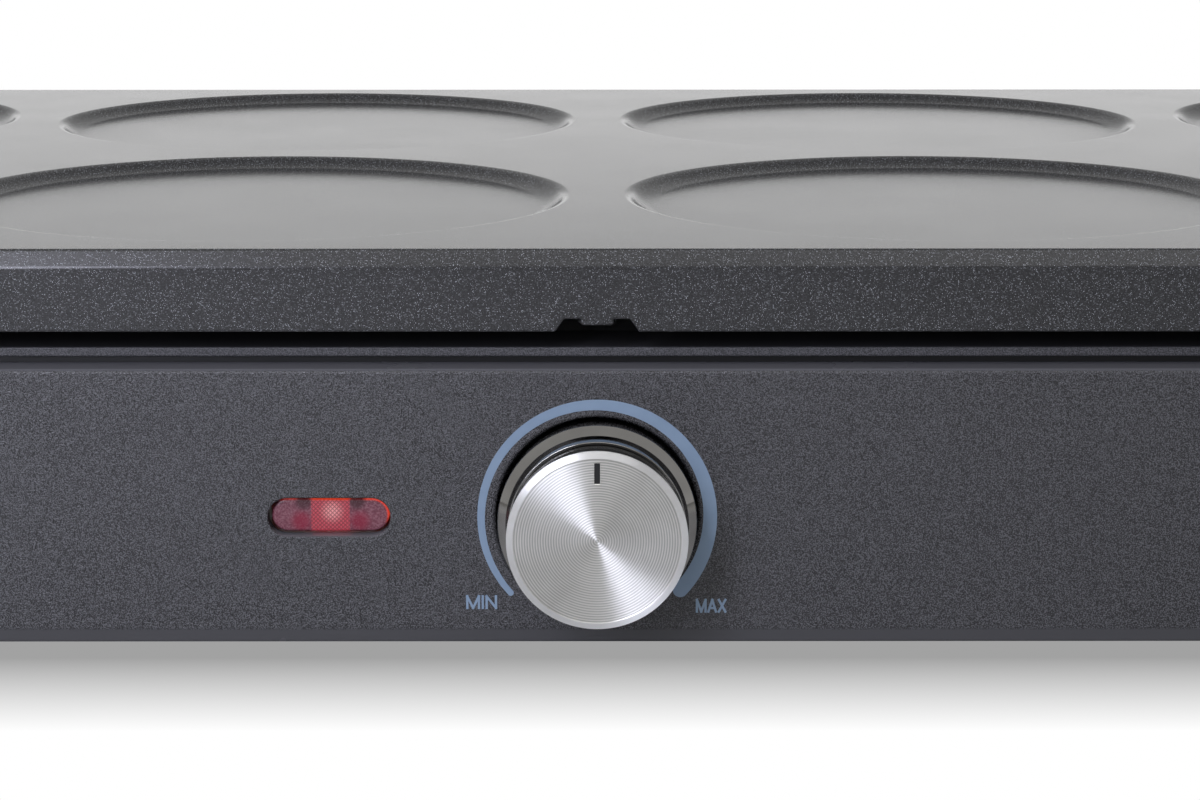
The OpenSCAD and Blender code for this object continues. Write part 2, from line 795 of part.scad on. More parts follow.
// A bent tube: straight legs along x joined by half rings, its two ends turned down
module heating_element() {
    last = heater_legs - 1;
    color("#55504c")
        tube(concat(
            [[pin_x, leg_y(0), z_bead]], elbow(leg_y(0)),
            [for (leg = [0:last - 1]) each bend(leg)],
            reversed(elbow(leg_y(last))), [[pin_x, leg_y(last), z_bead]]
        ), heater_d, 12);
}

module heater_end_beads() {
    color("#efe9dc") at_heater_ends() translate([0, 0, z_bead - bead_h]) difference() {
        rotate_extrude()
            polygon(concat([[0, 0], [heater_d / 2 - 1, 0]],
                arc([heater_d / 2 - 0.6, 1], 0.6, 270, 360, 3),
                [[heater_d / 2, bead_h], [0, bead_h]]));
        translate([0, 0, -cut]) cylinder(d = pin_d + 0.2, h = bead_h + 2 * cut);
    }
}

module heater_pins() {
    color("silver") at_heater_ends() translate([0, 0, z_pin]) cylinder(d = pin_d, h = z_bead - z_pin);
}

// Sheet brackets that hold the heater's legs above the reflector
module heater_saddles() {
    foot_l = 12;
    z_seat = z_pan + pan_t;
    color("#b5b7b8")
        for (leg = [0:heater_legs - 1], x = [-1, 1])
            translate([x * leg_x * 0.62, (leg - (heater_legs - 1) / 2) * leg_pitch, 0])
                difference() {
                    union() {
                        translate([-saddle_t / 2, -saddle_w / 2, z_seat])
                            cube([saddle_t, saddle_w, z_heater - z_seat]);
                        translate([-saddle_t / 2, -saddle_w / 2, z_seat])
                            cube([foot_l, saddle_w, saddle_t]);
                    }
                    translate([-foot_l, 0, z_heater]) rotate([0, 90, 0])
                        cylinder(d = heater_d + 0.2, h = 2 * foot_l);
                }
}

// Thermostat and its sensor

module sensor_bulb() {
    color("#b87333") translate([bulb_x - bulb_l / 2, bulb_y, bulb_z]) rotate([0, 90, 0])
        rotate_extrude()
            polygon(concat([[0, 0]], arc([bulb_d / 2 - 0.8, 0.8], 0.8, 270, 360, 3),
                [[bulb_d / 2, bulb_l - 3], [capillary_d / 2 + 0.4, bulb_l], [0, bulb_l]]));
}

// Two uprights with round notches that carry the bulb
module bulb_clips() {
    z_seat = z_pan + pan_t;
    clip_w = 8;
    color("#b5b7b8") for (x = [-1, 1])
        translate([bulb_x + x * bulb_l * 0.28, bulb_y, 0]) difference() {
            union() {
                translate([-saddle_t / 2, -clip_w / 2, z_seat])
                    cube([saddle_t, clip_w, bulb_z - z_seat + bulb_d / 4]);
                translate([-saddle_t / 2, -clip_w / 2, z_seat]) cube([10, clip_w, saddle_t]);
            }
            translate([-10, 0, bulb_z]) rotate([0, 90, 0]) cylinder(d = bulb_d + 0.2, h = 20);
        }
}

module capillary_tube() {
    color("#b87333")
        tube(route([
            capillary_start, capillary_start + [6, 0, 0],
            [capillary_hole[0] - 2, capillary_hole[1], bulb_z - 5],
            [capillary_hole[0], capillary_hole[1], z_pan + 6],
            [capillary_hole[0], capillary_hole[1], z_pan - 3],
            [capillary_hole[0] - 6, capillary_hole[1] - 6, z_pan - 9],
            [stat_nozzle[0] + 30, stat_nozzle[1] + 40, z_pan - 11],
            stat_nozzle + [6, 18, 0], stat_nozzle + [0, 5, 0], stat_nozzle
        ]), capillary_d);
}

module thermostat_body() {
    color("#d9d2c0") {
        difference() {
            translate([0, y_stat + stat_plate_t, z_dial]) rotate([-90, 0, 0])
                linear_extrude(stat_depth) round_rect(stat_w, stat_h, 3);
            for (x = [-1, 1]) translate([x * stat_screw_gap / 2, y_stat, z_dial]) rotate([-90, 0, 0])
                cylinder(d = stat_screw_d + 0.3, h = 9);
            translate([0, y_stat, z_dial]) rotate([-90, 0, 0])
                cylinder(d = shaft_d + 2 * running, h = 12);
        }
        for (x = [-1, 1])
            translate([(x * stat_tab_gap - tab_w_stat) / 2, y_stat_back - fuse, stat_tab_z])
                cube([tab_w_stat, tab_l + fuse, tab_t]);
        translate([stat_nozzle[0], y_stat_back - fuse, stat_nozzle[2]]) rotate([-90, 0, 0])
            cylinder(d = 4, h = stat_nozzle[1] - touch - y_stat_back + fuse);
    }
}

// Steel front plate with the bush that carries the shaft through the well's floor
module thermostat_plate() {
    color("silver") at_dial() translate([0, 0, -well_depth - well_floor_t - stat_plate_t]) difference() {
        union() {
            linear_extrude(stat_plate_t) round_rect(stat_w + 2 * stat_lug, stat_h, 3);
            cylinder(d = bush_d, h = stat_plate_t + well_floor_t);
        }
        translate([0, 0, -cut])
            cylinder(d = shaft_d + 2 * running, h = well_floor_t + 2 * cut + stat_plate_t);
        for (x = [-1, 1]) translate([x * stat_screw_gap / 2, 0, -cut])
            cylinder(d = stat_screw_d + 2 * slip, h = stat_plate_t + 2 * cut);
    }
}

module thermostat_screws() {
    color("silver") at_dial()
        for (x = [-1, 1]) translate([x * stat_screw_gap / 2, 0, -well_depth])
            screw(10, stat_screw_d, stat_head_d, stat_head_h);
}

// A round shaft with a flat along its outer end
module shaft_profile(d, flat) {
    difference() {
        circle(d = d);
        translate([-d, d / 2 - flat]) square([2 * d, d]);
    }
}

module thermostat_shaft() {
    flat_from = -hub_back - slip;
    color("silver") at_dial() {
        translate([0, 0, -well_depth - well_floor_t - stat_plate_t - 8])
            cylinder(d = shaft_d, h = 8 + stat_plate_t + well_floor_t + well_depth + flat_from);
        translate([0, 0, flat_from - fuse])
            linear_extrude(shaft_tip - flat_from + fuse) shaft_profile(shaft_d, shaft_flat);
    }
}

// Knob

// A hollow turned form: a flange with a bevelled edge, a tapered collar, a groove and a
// barrel, with a ribbed hub inside that grips the shaft
module knob_body() {
    front = knob_reach - cap_t;
    bevel = (knob_flange_d - knob_collar_d) / 2;
    collar_end = knob_flange_h + bevel + knob_collar_h;
    groove_r = knob_d / 2 - knob_groove_depth;
    inner_r = knob_d / 2 - knob_shell_t;
    color("#8d8a86") at_dial() difference() {
        union() {
            rotate_extrude($fn = 96)
                polygon(concat(
                    [[inner_r, -knob_flange_back]],
                    arc([knob_flange_d / 2 - knob_edge_r, knob_edge_r - knob_flange_back],
                        knob_edge_r, 270, 360, 3),
                    [[knob_flange_d / 2, knob_flange_h], [knob_collar_d / 2, knob_flange_h + bevel],
                     [knob_collar_d / 2 - knob_taper, collar_end], [groove_r, collar_end],
                     [groove_r, collar_end + knob_groove_w], [knob_d / 2, collar_end + knob_groove_w],
                     [knob_d / 2, front], [0, front], [0, front - knob_crown_t],
                     [inner_r, front - knob_crown_t]]));
            translate([0, 0, -hub_back]) cylinder(d = hub_d, h = front + hub_back - fuse);
            for (a = [0:60:300]) rotate([0, 0, a]) translate([hub_d / 2 - fuse, -knob_rib_t / 2, 1])
                cube([inner_r - hub_d / 2 + 2 * fuse, knob_rib_t, front - 1 - fuse]);
        }
        translate([0, 0, -hub_back - cut])
            linear_extrude(shaft_tip + fuse + hub_back + cut)
                shaft_profile(shaft_d + 2 * running, shaft_flat - clip_t - running);
    }
}

// Leaf spring between the shaft's flat and the hub
module knob_clip() {
    color("silver") at_dial()
        translate([-shaft_d * 0.3, shaft_d / 2 - shaft_flat + clip_slip, shaft_tip - clip_l])
            cube([shaft_d * 0.6, clip_t - 2 * clip_slip, clip_l]);
}

// Pointer bar, let into the cap near its rim
module pointer_bar(w, l, h) {
    translate([-w / 2, pointer_r - (pointer_l + l) / 2, 0]) cube([w, l, h]);
}

// Turned aluminium disc with a bright bevel round a sunk face
module knob_cap() {
    rim = cap_d / 2 - cap_bevel;
    color("#d9d9d6") at_dial() translate([0, 0, knob_reach - cap_t]) difference() {
        rotate_extrude($fn = 96)
            polygon([
                [0, 0], [cap_d / 2 - 0.2, 0], [cap_d / 2, 0.2], [cap_d / 2, cap_t - cap_edge],
                [rim, cap_t], [rim - cap_sunk, cap_t - cap_sunk], [0, cap_t - cap_sunk]
            ]);
        translate([0, 0, cap_t - cap_sunk - pointer_sink]) pointer_bar(pointer_w, pointer_l, cut);
    }
}

module knob_pointer() {
    gap = 2 * pointer_slip;
    color("#111111") at_dial() translate([0, 0, knob_reach - cap_sunk - pointer_sink])
        pointer_bar(pointer_w - gap, pointer_l - gap, pointer_sink - pointer_slip);
}

// Pilot light

module indicator_lens() {
    z_face = -lens_sink;
    color("#c2303a") at_lens() {
        translate([0, 0, -wall_t]) linear_extrude(wall_t + z_face) slot(lens_l, lens_h);
        translate([0, 0, -wall_t - lens_flange_t])
            linear_extrude(lens_flange_t) slot(lens_l + 2 * lens_flange, lens_h + 2 * lens_flange);
    }
}

// Open-backed box behind the lens that holds the lamp
module lamp_holder() {
    color("#e8e4da") at_lens() translate([0, 0, -wall_t - lens_flange_t - holder_depth]) difference() {
        linear_extrude(holder_depth) round_rect(lens_l + 2 * lens_flange, lens_h + 2 * lens_flange + 1, 1.5);
        translate([0, 0, holder_wall]) linear_extrude(holder_depth)
            round_rect(lens_l + 2 * lens_flange - 2 * holder_wall,
                       lens_h + 2 * lens_flange + 1 - 2 * holder_wall, 1);
        for (x = [-1, 1]) translate([x * lamp_lead_gap / 2, 0, -cut])
            cylinder(d = lamp_lead_d + 2 * slip, h = holder_wall + 2 * cut);
    }
}

// A small neon tube with a rounded tip, lying along the lens
module neon_lamp() {
    color("#f2b8a0") at_lens()
        translate([-lamp_l / 2, 0, -wall_t - lens_flange_t - holder_depth + holder_wall + lamp_d / 2 + 0.1])
            rotate([0, 90, 0])
                rotate_extrude()
                    polygon(concat([[0, 0], [lamp_d / 2, 0]],
                        arc([0, lamp_l - lamp_d / 2], lamp_d / 2, 0, 90, 6)));
}

// Mains connections

module terminal_block() {
    color("#e9e6dd") translate([-gland_offset, block_y, z_floor]) difference() {
        linear_extrude(block_h) round_rect(block_l, block_w, 1.5);
        for (pole = [-1:1]) {
            translate([pole * block_pole, 0, block_h - 7]) cylinder(d = 4.4, h = 7 + cut);
            translate([pole * block_pole, -block_w, block_hole_z - z_floor]) rotate([-90, 0, 0])
                cylinder(d = lead_d + 2 * slip, h = 2 * block_w);
        }
    }
}

module terminal_screws() {
    color("#c9a64b") for (pole = [-1:1])
        translate([-gland_offset + pole * block_pole, block_y, z_block - 7]) difference() {
            cylinder(d = 4, h = 6);
            translate([-3, -0.4, 5]) cube([6, 0.8, 2]);
        }
}

// Cord bush through the back wall, held by a nut inside
module cord_gland() {
    neck_l = wall_t + 7;
    color("#1f1f21") translate([-gland_offset, base_w / 2, z_gland]) rotate([-90, 0, 0]) difference() {
        union() {
            rotate_extrude()
                polygon(concat([[0, 0], [gland_neck_d / 2 + 3, 0]],
                    arc([gland_neck_d / 2 + 2, gland_collar_t - 1], 1, 0, 90, 4), [[0, gland_collar_t]]));
            translate([0, 0, -neck_l]) cylinder(d = gland_neck_d, h = neck_l + fuse);
        }
        translate([0, 0, -neck_l - cut]) cylinder(d = gland_bore_d, h = neck_l + gland_collar_t + 2 * cut);
    }
}

module gland_nut() {
    color("#2a2a2c") translate([-gland_offset, base_w / 2 - wall_t, z_gland]) rotate([90, 0, 0])
        difference() {
            cylinder(d = gland_neck_d + 7, h = 4, $fn = 6);
            translate([0, 0, -cut]) cylinder(d = gland_neck_d + 0.3, h = 4 + 2 * cut);
        }
}

module earth_stud() {
    color("#c9a64b") translate([earth_x, earth_y, z_pan]) {
        translate([0, 0, -earth_stud_l]) cylinder(d = earth_stud_d, h = earth_stud_l + pan_t + fuse);
        translate([0, 0, -3.2]) cylinder(d = 8, h = 3.2, $fn = 6);
        translate([0, 0, pan_t]) cylinder(d = 7, h = 2);
    }
}

// Leads, under the reflector

// The block's wire hole of one pole
function pole_hole(pole) = [-gland_offset + pole * block_pole, block_front, block_hole_z];

// The spade tab on one side of the thermostat's back
function stat_spade(side) = [side * stat_tab_gap / 2, stat_tab_y, stat_tab_z + tab_t / 2];

// Just below a heater pin, and just beside it
function pin_foot(side) = [pin_x, side * heater_y, z_pin - touch];
function pin_side(side) = [pin_x + pin_d / 2 + touch, side * heater_y, z_joint];

module live_lead() {
    start = pole_hole(0);
    end = stat_spade(1);
    color("#7a4a2b")
        tube(route([
            start, start + [0, -8, 0], [start[0] + 16, 20, z_lead + 2],
            end + [-40, 50, z_lead + 2 - end[2]], end + [0, 16, 0], end + [0, 4, 0], end
        ]), lead_d);
}

module switched_lead() {
    start = stat_spade(-1);
    end = pin_foot(-1);
    color("#3a3a3a")
        tube(route([
            start, start + [0, 4, 0], start + [0, 12, 0], start + [-50, 16, z_lead + 4 - start[2]],
            end + [40, 10, z_lead + 4 - end[2]], end + [6, 2, -9], end + [0, 0, -4], end
        ]), lead_d);
}

module neutral_lead() {
    start = pole_hole(-1);
    end = pin_foot(1);
    color("#2f5fa8")
        tube(route([
            start, start + [0, -8, 0], start + [-16, -16, 2],
            end + [24, -6, z_lead + 2 - end[2]], end + [6, -2, -9], end + [0, 0, -4], end
        ]), lead_d);
}

module earth_lead() {
    start = pole_hole(1);
    end = [earth_x, earth_y, z_pan - earth_stud_l - touch];
    color("#9bb03a")
        tube(route([
            start, start + [0, -8, 0], end + [-16, -6, z_lead + 6 - end[2]],
            end + [0, 0, -7], end + [0, 0, -3], end
        ]), lead_d);
}

// From the lamp to the heater's two pins, so that it glows while the heater is on
module lamp_leads() {
    front = [-lens_offset - lamp_lead_gap / 2, lamp_back - holder_wall, z_dial];
    back = front + [lamp_lead_gap, 0, 0];
    color("#d0d0d0") {
        tube(route([
            front, front + [0, 4, 0], front + [0, 9, 0], front + [-10, 18, -8], front + [-70, 24, -12],
            pin_side(-1) + [24, -5, -4], pin_side(-1) + [5, 0, 0], pin_side(-1)
        ]), lamp_lead_d);
        tube(route([
            back, back + [0, 4, 0], back + [0, 9, 0], back + [-14, 26, 5], back + [-78, 82, 8],
            pin_side(1) + [34, -34, 8], pin_side(1) + [10, -4, 2], pin_side(1) + [4, 0, 0], pin_side(1)
        ]), lamp_lead_d);
    }
}

// Puts a piece in the part's frame
module placed() {
    translate([0, y_shift, 0]) children();
}

placed() griddle_plate();
placed() plate_rests();
placed() plate_rest_screws();
placed() top_frame();
placed() frame_screws();
placed() base_housing();
placed() rubber_feet();
placed() left_handle();
placed() right_handle();
placed() handle_screws();
placed() reflector_pan();
placed() pan_screws();
placed() heating_element();
placed() heater_end_beads();
placed() heater_pins();
placed() heater_saddles();
placed() sensor_bulb();
placed() bulb_clips();
placed() capillary_tube();
placed() thermostat_body();
placed() thermostat_plate();
placed() thermostat_screws();
placed() thermostat_shaft();
placed() knob_body();
placed() knob_cap();
placed() knob_pointer();
placed() knob_clip();
placed() indicator_lens();
placed() lamp_holder();
placed() neon_lamp();
placed() terminal_block();
placed() terminal_screws();
placed() cord_gland();
placed() gland_nut();
placed() earth_stud();
placed() live_lead();
placed() switched_lead();
placed() neutral_lead();
placed() earth_lead();
placed() lamp_leads();
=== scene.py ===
"""Looks of an electric teppanyaki grill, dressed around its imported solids.

The cast plate, the housing, the top frame, the knob, the pilot light, the printed heat scale
and the heater get surfaces finer than the solids have. The other solids keep their meshes and
get finishes. Sizes are in millimetres and become metres when a mesh is made.
"""

import json
import logging
import math
from collections.abc import Sequence
from dataclasses import dataclass, field
from enum import Enum

import bmesh
import bpy
import numpy as np
from bpy.types import Node, NodeSocket, NodeTree
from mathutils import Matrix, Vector
from mathutils.geometry import delaunay_2d_cdt


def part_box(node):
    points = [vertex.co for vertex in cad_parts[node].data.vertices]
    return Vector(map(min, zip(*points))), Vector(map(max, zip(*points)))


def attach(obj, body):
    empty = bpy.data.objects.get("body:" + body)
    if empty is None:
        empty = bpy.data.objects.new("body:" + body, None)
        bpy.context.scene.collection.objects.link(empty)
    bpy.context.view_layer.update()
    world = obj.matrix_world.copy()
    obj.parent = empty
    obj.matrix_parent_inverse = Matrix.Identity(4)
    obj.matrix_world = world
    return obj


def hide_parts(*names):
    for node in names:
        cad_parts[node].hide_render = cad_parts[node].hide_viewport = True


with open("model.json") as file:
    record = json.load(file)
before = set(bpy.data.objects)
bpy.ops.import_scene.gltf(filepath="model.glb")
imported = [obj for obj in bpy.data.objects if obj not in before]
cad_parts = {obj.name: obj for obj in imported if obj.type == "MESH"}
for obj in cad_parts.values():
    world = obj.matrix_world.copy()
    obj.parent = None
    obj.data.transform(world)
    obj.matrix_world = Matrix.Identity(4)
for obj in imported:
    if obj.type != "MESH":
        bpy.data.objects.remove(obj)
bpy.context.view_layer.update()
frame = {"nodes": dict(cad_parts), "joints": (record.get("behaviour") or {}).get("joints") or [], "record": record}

MM = 0.001
SUPPORT = 0.04      # width of the narrow strip that keeps a flat beside a fillet flat, in mm
RUN_IN = 3.0        # straight that leads into a profile's first fillet and isn't kept, in mm
ON_EDGE = 1e-4      # points nearer to an outline than this lie on it, in mm
TINY = 1e-9         # keeps comparisons and divisions clear of rounding
WELD = 2e-6         # points closer than this become one, in metres
SHARP = 38.0        # edges that turn more than this many degrees stay crisp
DRIFT_SPAN = (0.35, 0.65)       # values of slow noise between which a surface changes

# What feeds a node's input
Source = Node | NodeSocket | float | Sequence[float]

log = logging.getLogger("grill")


class Axis(Enum):
    """A direction that a flat outline is carried along."""

    X = 0
    Y = 1
    Z = 2


class Body(str, Enum):
    """The bodies that pieces ride on."""

    BASE = "base"
    PLATE = "plate"
    KNOB = "knob"


# Flat outlines and profiles


def arc(centre: Sequence[float], radius: float, start: float, end: float, steps: int) -> np.ndarray:
    """Points centre + radius (cos a, sin a), with a in equal steps from start to end.

    Args:
        centre: Middle of the arc.
        radius: Radius of the arc.
        start: First angle in degrees.
        end: Last angle in degrees.
        steps: Number of steps between the two.

    Returns:
        Points, one row each.
    """
    a = np.radians(np.linspace(start, end, steps + 1))
    return np.stack([centre[0] + radius * np.cos(a), centre[1] + radius * np.sin(a)], axis=1)


def ring(radius: float, steps: int, centre: Sequence[float] = (0.0, 0.0)) -> np.ndarray:
    """A whole circle, without its last point again."""
    return arc(centre, radius, 0.0, 360.0, steps)[:-1]


def filleted(corners: Sequence[Sequence[float]], steps: int = 6, closed: bool = False) -> np.ndarray:
    """A polyline whose corners are rounded by arcs that touch both of their sides.

    A corner of half angle h and radius r has its arc's centre at r / sin h along the line that
    halves it. Each arc has a support point just before and after it.

    Args:
        corners: Each corner's place and the radius of its arc, 0 for a sharp one.
        steps: Steps along each arc.
        closed: Whether the last corner joins the first.

    Returns:
        Points along the polyline.
    """
    place = np.array([c[:2] for c in corners], float)
    found: list[np.ndarray] = []
    for i, corner in enumerate(corners):
        radius = corner[2] if len(corner) > 2 else 0.0
        if radius == 0.0 or (not closed and i in (0, len(corners) - 1)):
            found.append(place[i:i + 1])
            continue
        back = place[i - 1] - place[i]
        ahead = place[(i + 1) % len(corners)] - place[i]
        back, ahead = back / np.linalg.norm(back), ahead / np.linalg.norm(ahead)
        half = math.acos(float(np.clip(back @ ahead, -1.0, 1.0))) / 2
        reach = radius / math.tan(half)
        middle = place[i] + (back + ahead) / np.linalg.norm(back + ahead) * radius / math.sin(half)
        first, last = place[i] + back * reach - middle, place[i] + ahead * reach - middle
        turn = math.pi - 2 * half
        t = np.linspace(0.0, 1.0, steps + 1)[:, None]
        curve = middle + (np.sin((1 - t) * turn) * first + np.sin(t * turn) * last) / math.sin(turn)
        found += [place[i:i + 1] + back * (reach + SUPPORT), curve,
                  place[i:i + 1] + ahead * (reach + SUPPORT)]
    return np.concatenate(found)


def stadium(length: float, height: float, steps: int = 24) -> np.ndarray:
    """Outline of a slot with round ends: two half circles, joined by straight sides."""
    side, radius = (length - height) / 2, height / 2
    return np.concatenate([arc((side, 0), radius, -90, 90, steps), arc((-side, 0), radius, 90, 270, steps)])


def rounded_loop(length: float, width: float, radius: float,
                 steps: int = 20) -> tuple[np.ndarray, np.ndarray]:
    """A rectangle with round corners: four quarter circles with a support point at each end.

    Args:
        length: Size along X.
        width: Size along Y.
        radius: Radius of the corners.
        steps: Steps along each corner.

    Returns:
        Points and their outward directions. The last point joins the first along the front.
    """
    points, out = [], []
    for sx, sy, start in ((1, -1, -90), (1, 1, 0), (-1, 1, 90), (-1, -1, 180)):
        way = arc((0, 0), 1.0, start, start + 90, steps)
        curve = np.array([sx * (length / 2 - radius), sy * (width / 2 - radius)]) + radius * way
        before = curve[:1] - SUPPORT * np.array([[-way[0, 1], way[0, 0]]])
        after = curve[-1:] + SUPPORT * np.array([[-way[-1, 1], way[-1, 0]]])
        points += [before, curve, after]
        out += [way[:1], way, way[-1:]]
    return np.concatenate(points), np.concatenate(out)


def fill(loops: Sequence[np.ndarray]) -> tuple[np.ndarray, list[list[int]]]:
    """Triangles of the flat area inside the first loop and outside the other ones.

    Args:
        loops: Closed outlines, each without its first point again.

    Returns:
        Points and triangles.
    """
    ends = np.cumsum([len(loop) for loop in loops])
    rings = [list(range(end - len(loop), end)) for loop, end in zip(loops, ends)]
    inside_with_holes, closest = 2, 1e-7
    made = delaunay_2d_cdt(np.concatenate(loops).tolist(), [], rings, inside_with_holes, closest)
    return np.array(made[0]), [list(face) for face in made[2]]


def lift(flat: np.ndarray, depth: np.ndarray | float, axis: Axis) -> np.ndarray:
    """Puts flat points in space, at a depth along the axis that the outline lacks."""
    depth = np.broadcast_to(np.asarray(depth, float), flat.shape[:-1])
    return np.insert(flat, axis.value, depth, axis=-1)


def carry(path: np.ndarray, out: np.ndarray, profile: np.ndarray) -> np.ndarray:
    """Points [path, profile] of a profile (distance outwards, height) carried along a level path."""
    return lift(path[:, None] + out[:, None] * profile[None, :, :1], profile[None, :, 1], Axis.Z)


class Shell:
    """Gathers surfaces in millimetres, then makes one closed mesh object of them."""

    def __init__(self) -> None:
        """Starts with nothing."""
        self._points: list[np.ndarray] = []
        self._faces: list[list[int]] = []
        self._count = 0

    def patch(self, points: np.ndarray, faces: Sequence[Sequence[int]]) -> None:
        """Adds points and the faces that join them."""
        self._faces += (np.asarray(faces) + self._count).tolist()
        self._points.append(np.asarray(points, float).reshape(-1, 3))
        self._count += len(self._points[-1])

    def grid(self, points: np.ndarray, close_u: bool = False, close_v: bool = False,
             keep: np.ndarray | None = None) -> None:
        """Adds a surface whose quads join neighbours in an array of points [u, v].

        Args:
            points: Places as an array of rows, columns and three coordinates.
            close_u: Whether the last row joins the first.
            close_v: Whether the last column joins the first.
            keep: Which quads stay, where some are left out.
        """
        index = np.arange(points.shape[0] * points.shape[1]).reshape(points.shape[:2])
        index = np.vstack([index, index[:1]]) if close_u else index
        index = np.hstack([index, index[:, :1]]) if close_v else index
        quads = np.stack([index[:-1, :-1], index[1:, :-1], index[1:, 1:], index[:-1, 1:]], axis=-1)
        self.patch(points, quads[keep] if keep is not None else quads.reshape(-1, 4))

    def flat(self, loops: Sequence[np.ndarray], depth: float, axis: Axis) -> None:
        """Adds a flat area with holes, across an axis at a depth along it."""
        points, faces = fill(loops)
        self.patch(lift(points, depth, axis), faces)

    def wall(self, outline: np.ndarray, start: float, end: float, axis: Axis) -> None:
        """Adds the sides of a closed outline that is carried along an axis from start to end."""
        self.grid(np.stack([lift(outline, start, axis), lift(outline, end, axis)]), close_v=True)

    def revolve(self, profile: np.ndarray, centre: Sequence[float], axis: Axis, steps: int) -> None:
        """Adds a turned surface: each profile point (r, h) runs round the axis at radius r and place h.

        Args:
            profile: Radius and place along the axis of each point.
            centre: Where the axis crosses the flat of the other two directions.
            axis: The axis.
            steps: Steps round the axis.
        """
        way = ring(1.0, steps)
        flat = np.asarray(centre, float) + way[:, None, :] * profile[None, :, :1]
        self.grid(lift(flat, profile[None, :, 1], axis), close_u=True)

    def prism(self, outline: np.ndarray, start: float, end: float, axis: Axis, bevel: float = 0.0) -> None:
        """Adds an outline carried along an axis, with its two end edges bevelled, and closed ends.

        Args:
            outline: Closed outline, anticlockwise.
            start: Place of the first end along the axis.
            end: Place of the other end.
            axis: The axis.
            bevel: Width of the bevel.
        """
        ahead = np.roll(outline, -1, axis=0) - np.roll(outline, 1, axis=0)
        inward = np.stack([-ahead[:, 1], ahead[:, 0]], axis=1)
        inward /= np.linalg.norm(inward, axis=1, keepdims=True)
        small = outline + inward * bevel
        step = math.copysign(bevel, end - start)
        levels = [(small, start), (outline, start + step), (outline, end - step), (small, end)]
        levels = levels if bevel else [levels[0], levels[-1]]
        self.grid(np.stack([lift(flat, place, axis) for flat, place in levels]), close_v=True)
        self.flat([small], start, axis)
        self.flat([small], end, axis)

    def tube(self, path: np.ndarray, radius: float, sides: int) -> None:
        """Adds a round tube: a circle across the path at each of its points.

        The sideways direction is square to the path and to Y, or to X where the path runs along Y.

        Args:
            path: Points of the middle line.
            radius: Radius of the tube.
            sides: Points round it.
        """
        along = np.gradient(path, axis=0)
        along /= np.linalg.norm(along, axis=1, keepdims=True)
        side = np.cross(along, np.array([0.0, 1.0, 0.0]))
        too_short = 0.05
        weak = np.linalg.norm(side, axis=1) < too_short
        side[weak] = np.cross(along[weak], np.array([1.0, 0.0, 0.0]))
        side /= np.linalg.norm(side, axis=1, keepdims=True)
        up = np.cross(side, along)
        way = ring(radius, sides)
        points = path[:, None] + side[:, None] * way[None, :, :1] + up[:, None] * way[None, :, 1:]
        self.grid(points, close_v=True)
        for end in (points[0], points[-1]):
            self.patch(end, [list(range(sides))])

    def build(self, name: str, finish: "Finish", body: Body, slot: str, nodes: Sequence[str] = ()) -> None:
        """Makes the object, dresses it and lets it ride on its body.

        Args:
            name: The piece's name.
            finish: Its material.
            body: The body it moves with.
            slot: The record's material slot; not used.
            nodes: Solids that it stands for.
        """
        mesh = bpy.data.meshes.new(name)
        mesh.from_pydata((np.concatenate(self._points) * MM).tolist(), [], self._faces)
        work = bmesh.new()
        work.from_mesh(mesh)
        bmesh.ops.remove_doubles(work, verts=work.verts, dist=WELD)
        bmesh.ops.dissolve_degenerate(work, dist=WELD, edges=work.edges)
        bmesh.ops.recalc_face_normals(work, faces=work.faces)
        work.to_mesh(mesh)
        work.free()
        mesh.shade_smooth()
        mesh.set_sharp_from_angle(angle=math.radians(SHARP))
        piece = bpy.data.objects.new(name, mesh)
        bpy.context.scene.collection.objects.link(piece)
        mesh.materials.append(finish.material())
        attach(piece, body.value)
        if nodes:
            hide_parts(*nodes)
        log.info("%s: %d faces on %s", name, len(mesh.polygons), body.value)


@dataclass(frozen=True)
class Box:
    """Lowest and highest corner of a solid, in millimetres."""

    lo: np.ndarray
    hi: np.ndarray

    @classmethod
    def of(cls, node: str) -> "Box":
        """The box of one solid of the frame."""
        lo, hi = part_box(node)
        return cls(np.array(lo) / MM, np.array(hi) / MM)

    @property
    def size(self) -> np.ndarray:
        """Length, width and height."""
        return self.hi - self.lo

    @property
    def middle(self) -> np.ndarray:
        """The middle of the box."""
        return (self.lo + self.hi) / 2


def dial_centre() -> np.ndarray:
    """Where the knob's axis crosses the panel's face, from the knob's joint, in millimetres."""
    joint = next(j for j in frame["joints"] if j["name"] == "knob_turn")
    return np.array(joint["pos_m"]) / MM


# Finishes


def linear(colour: str, strength: float = 1.0) -> tuple[float, float, float, float]:
    """Linear colour of an sRGB hex value such as #3b3b40, times a strength."""
    value = np.array([int(colour[i:i + 2], 16) for i in (1, 3, 5)]) / 255
    value = np.where(value <= 0.04045, value / 12.92, ((value + 0.055) / 1.055) ** 2.4) * strength
    return (float(value[0]), float(value[1]), float(value[2]), 1.0)


def metres(sizes_mm: Sequence[float]) -> tuple[float, ...]:
    """Sizes in millimetres as metres."""
    return tuple(float(size) * MM for size in sizes_mm)


def output(node: Node) -> NodeSocket:
    """A node's first output in use."""
    return next(socket for socket in node.outputs if socket.enabled)


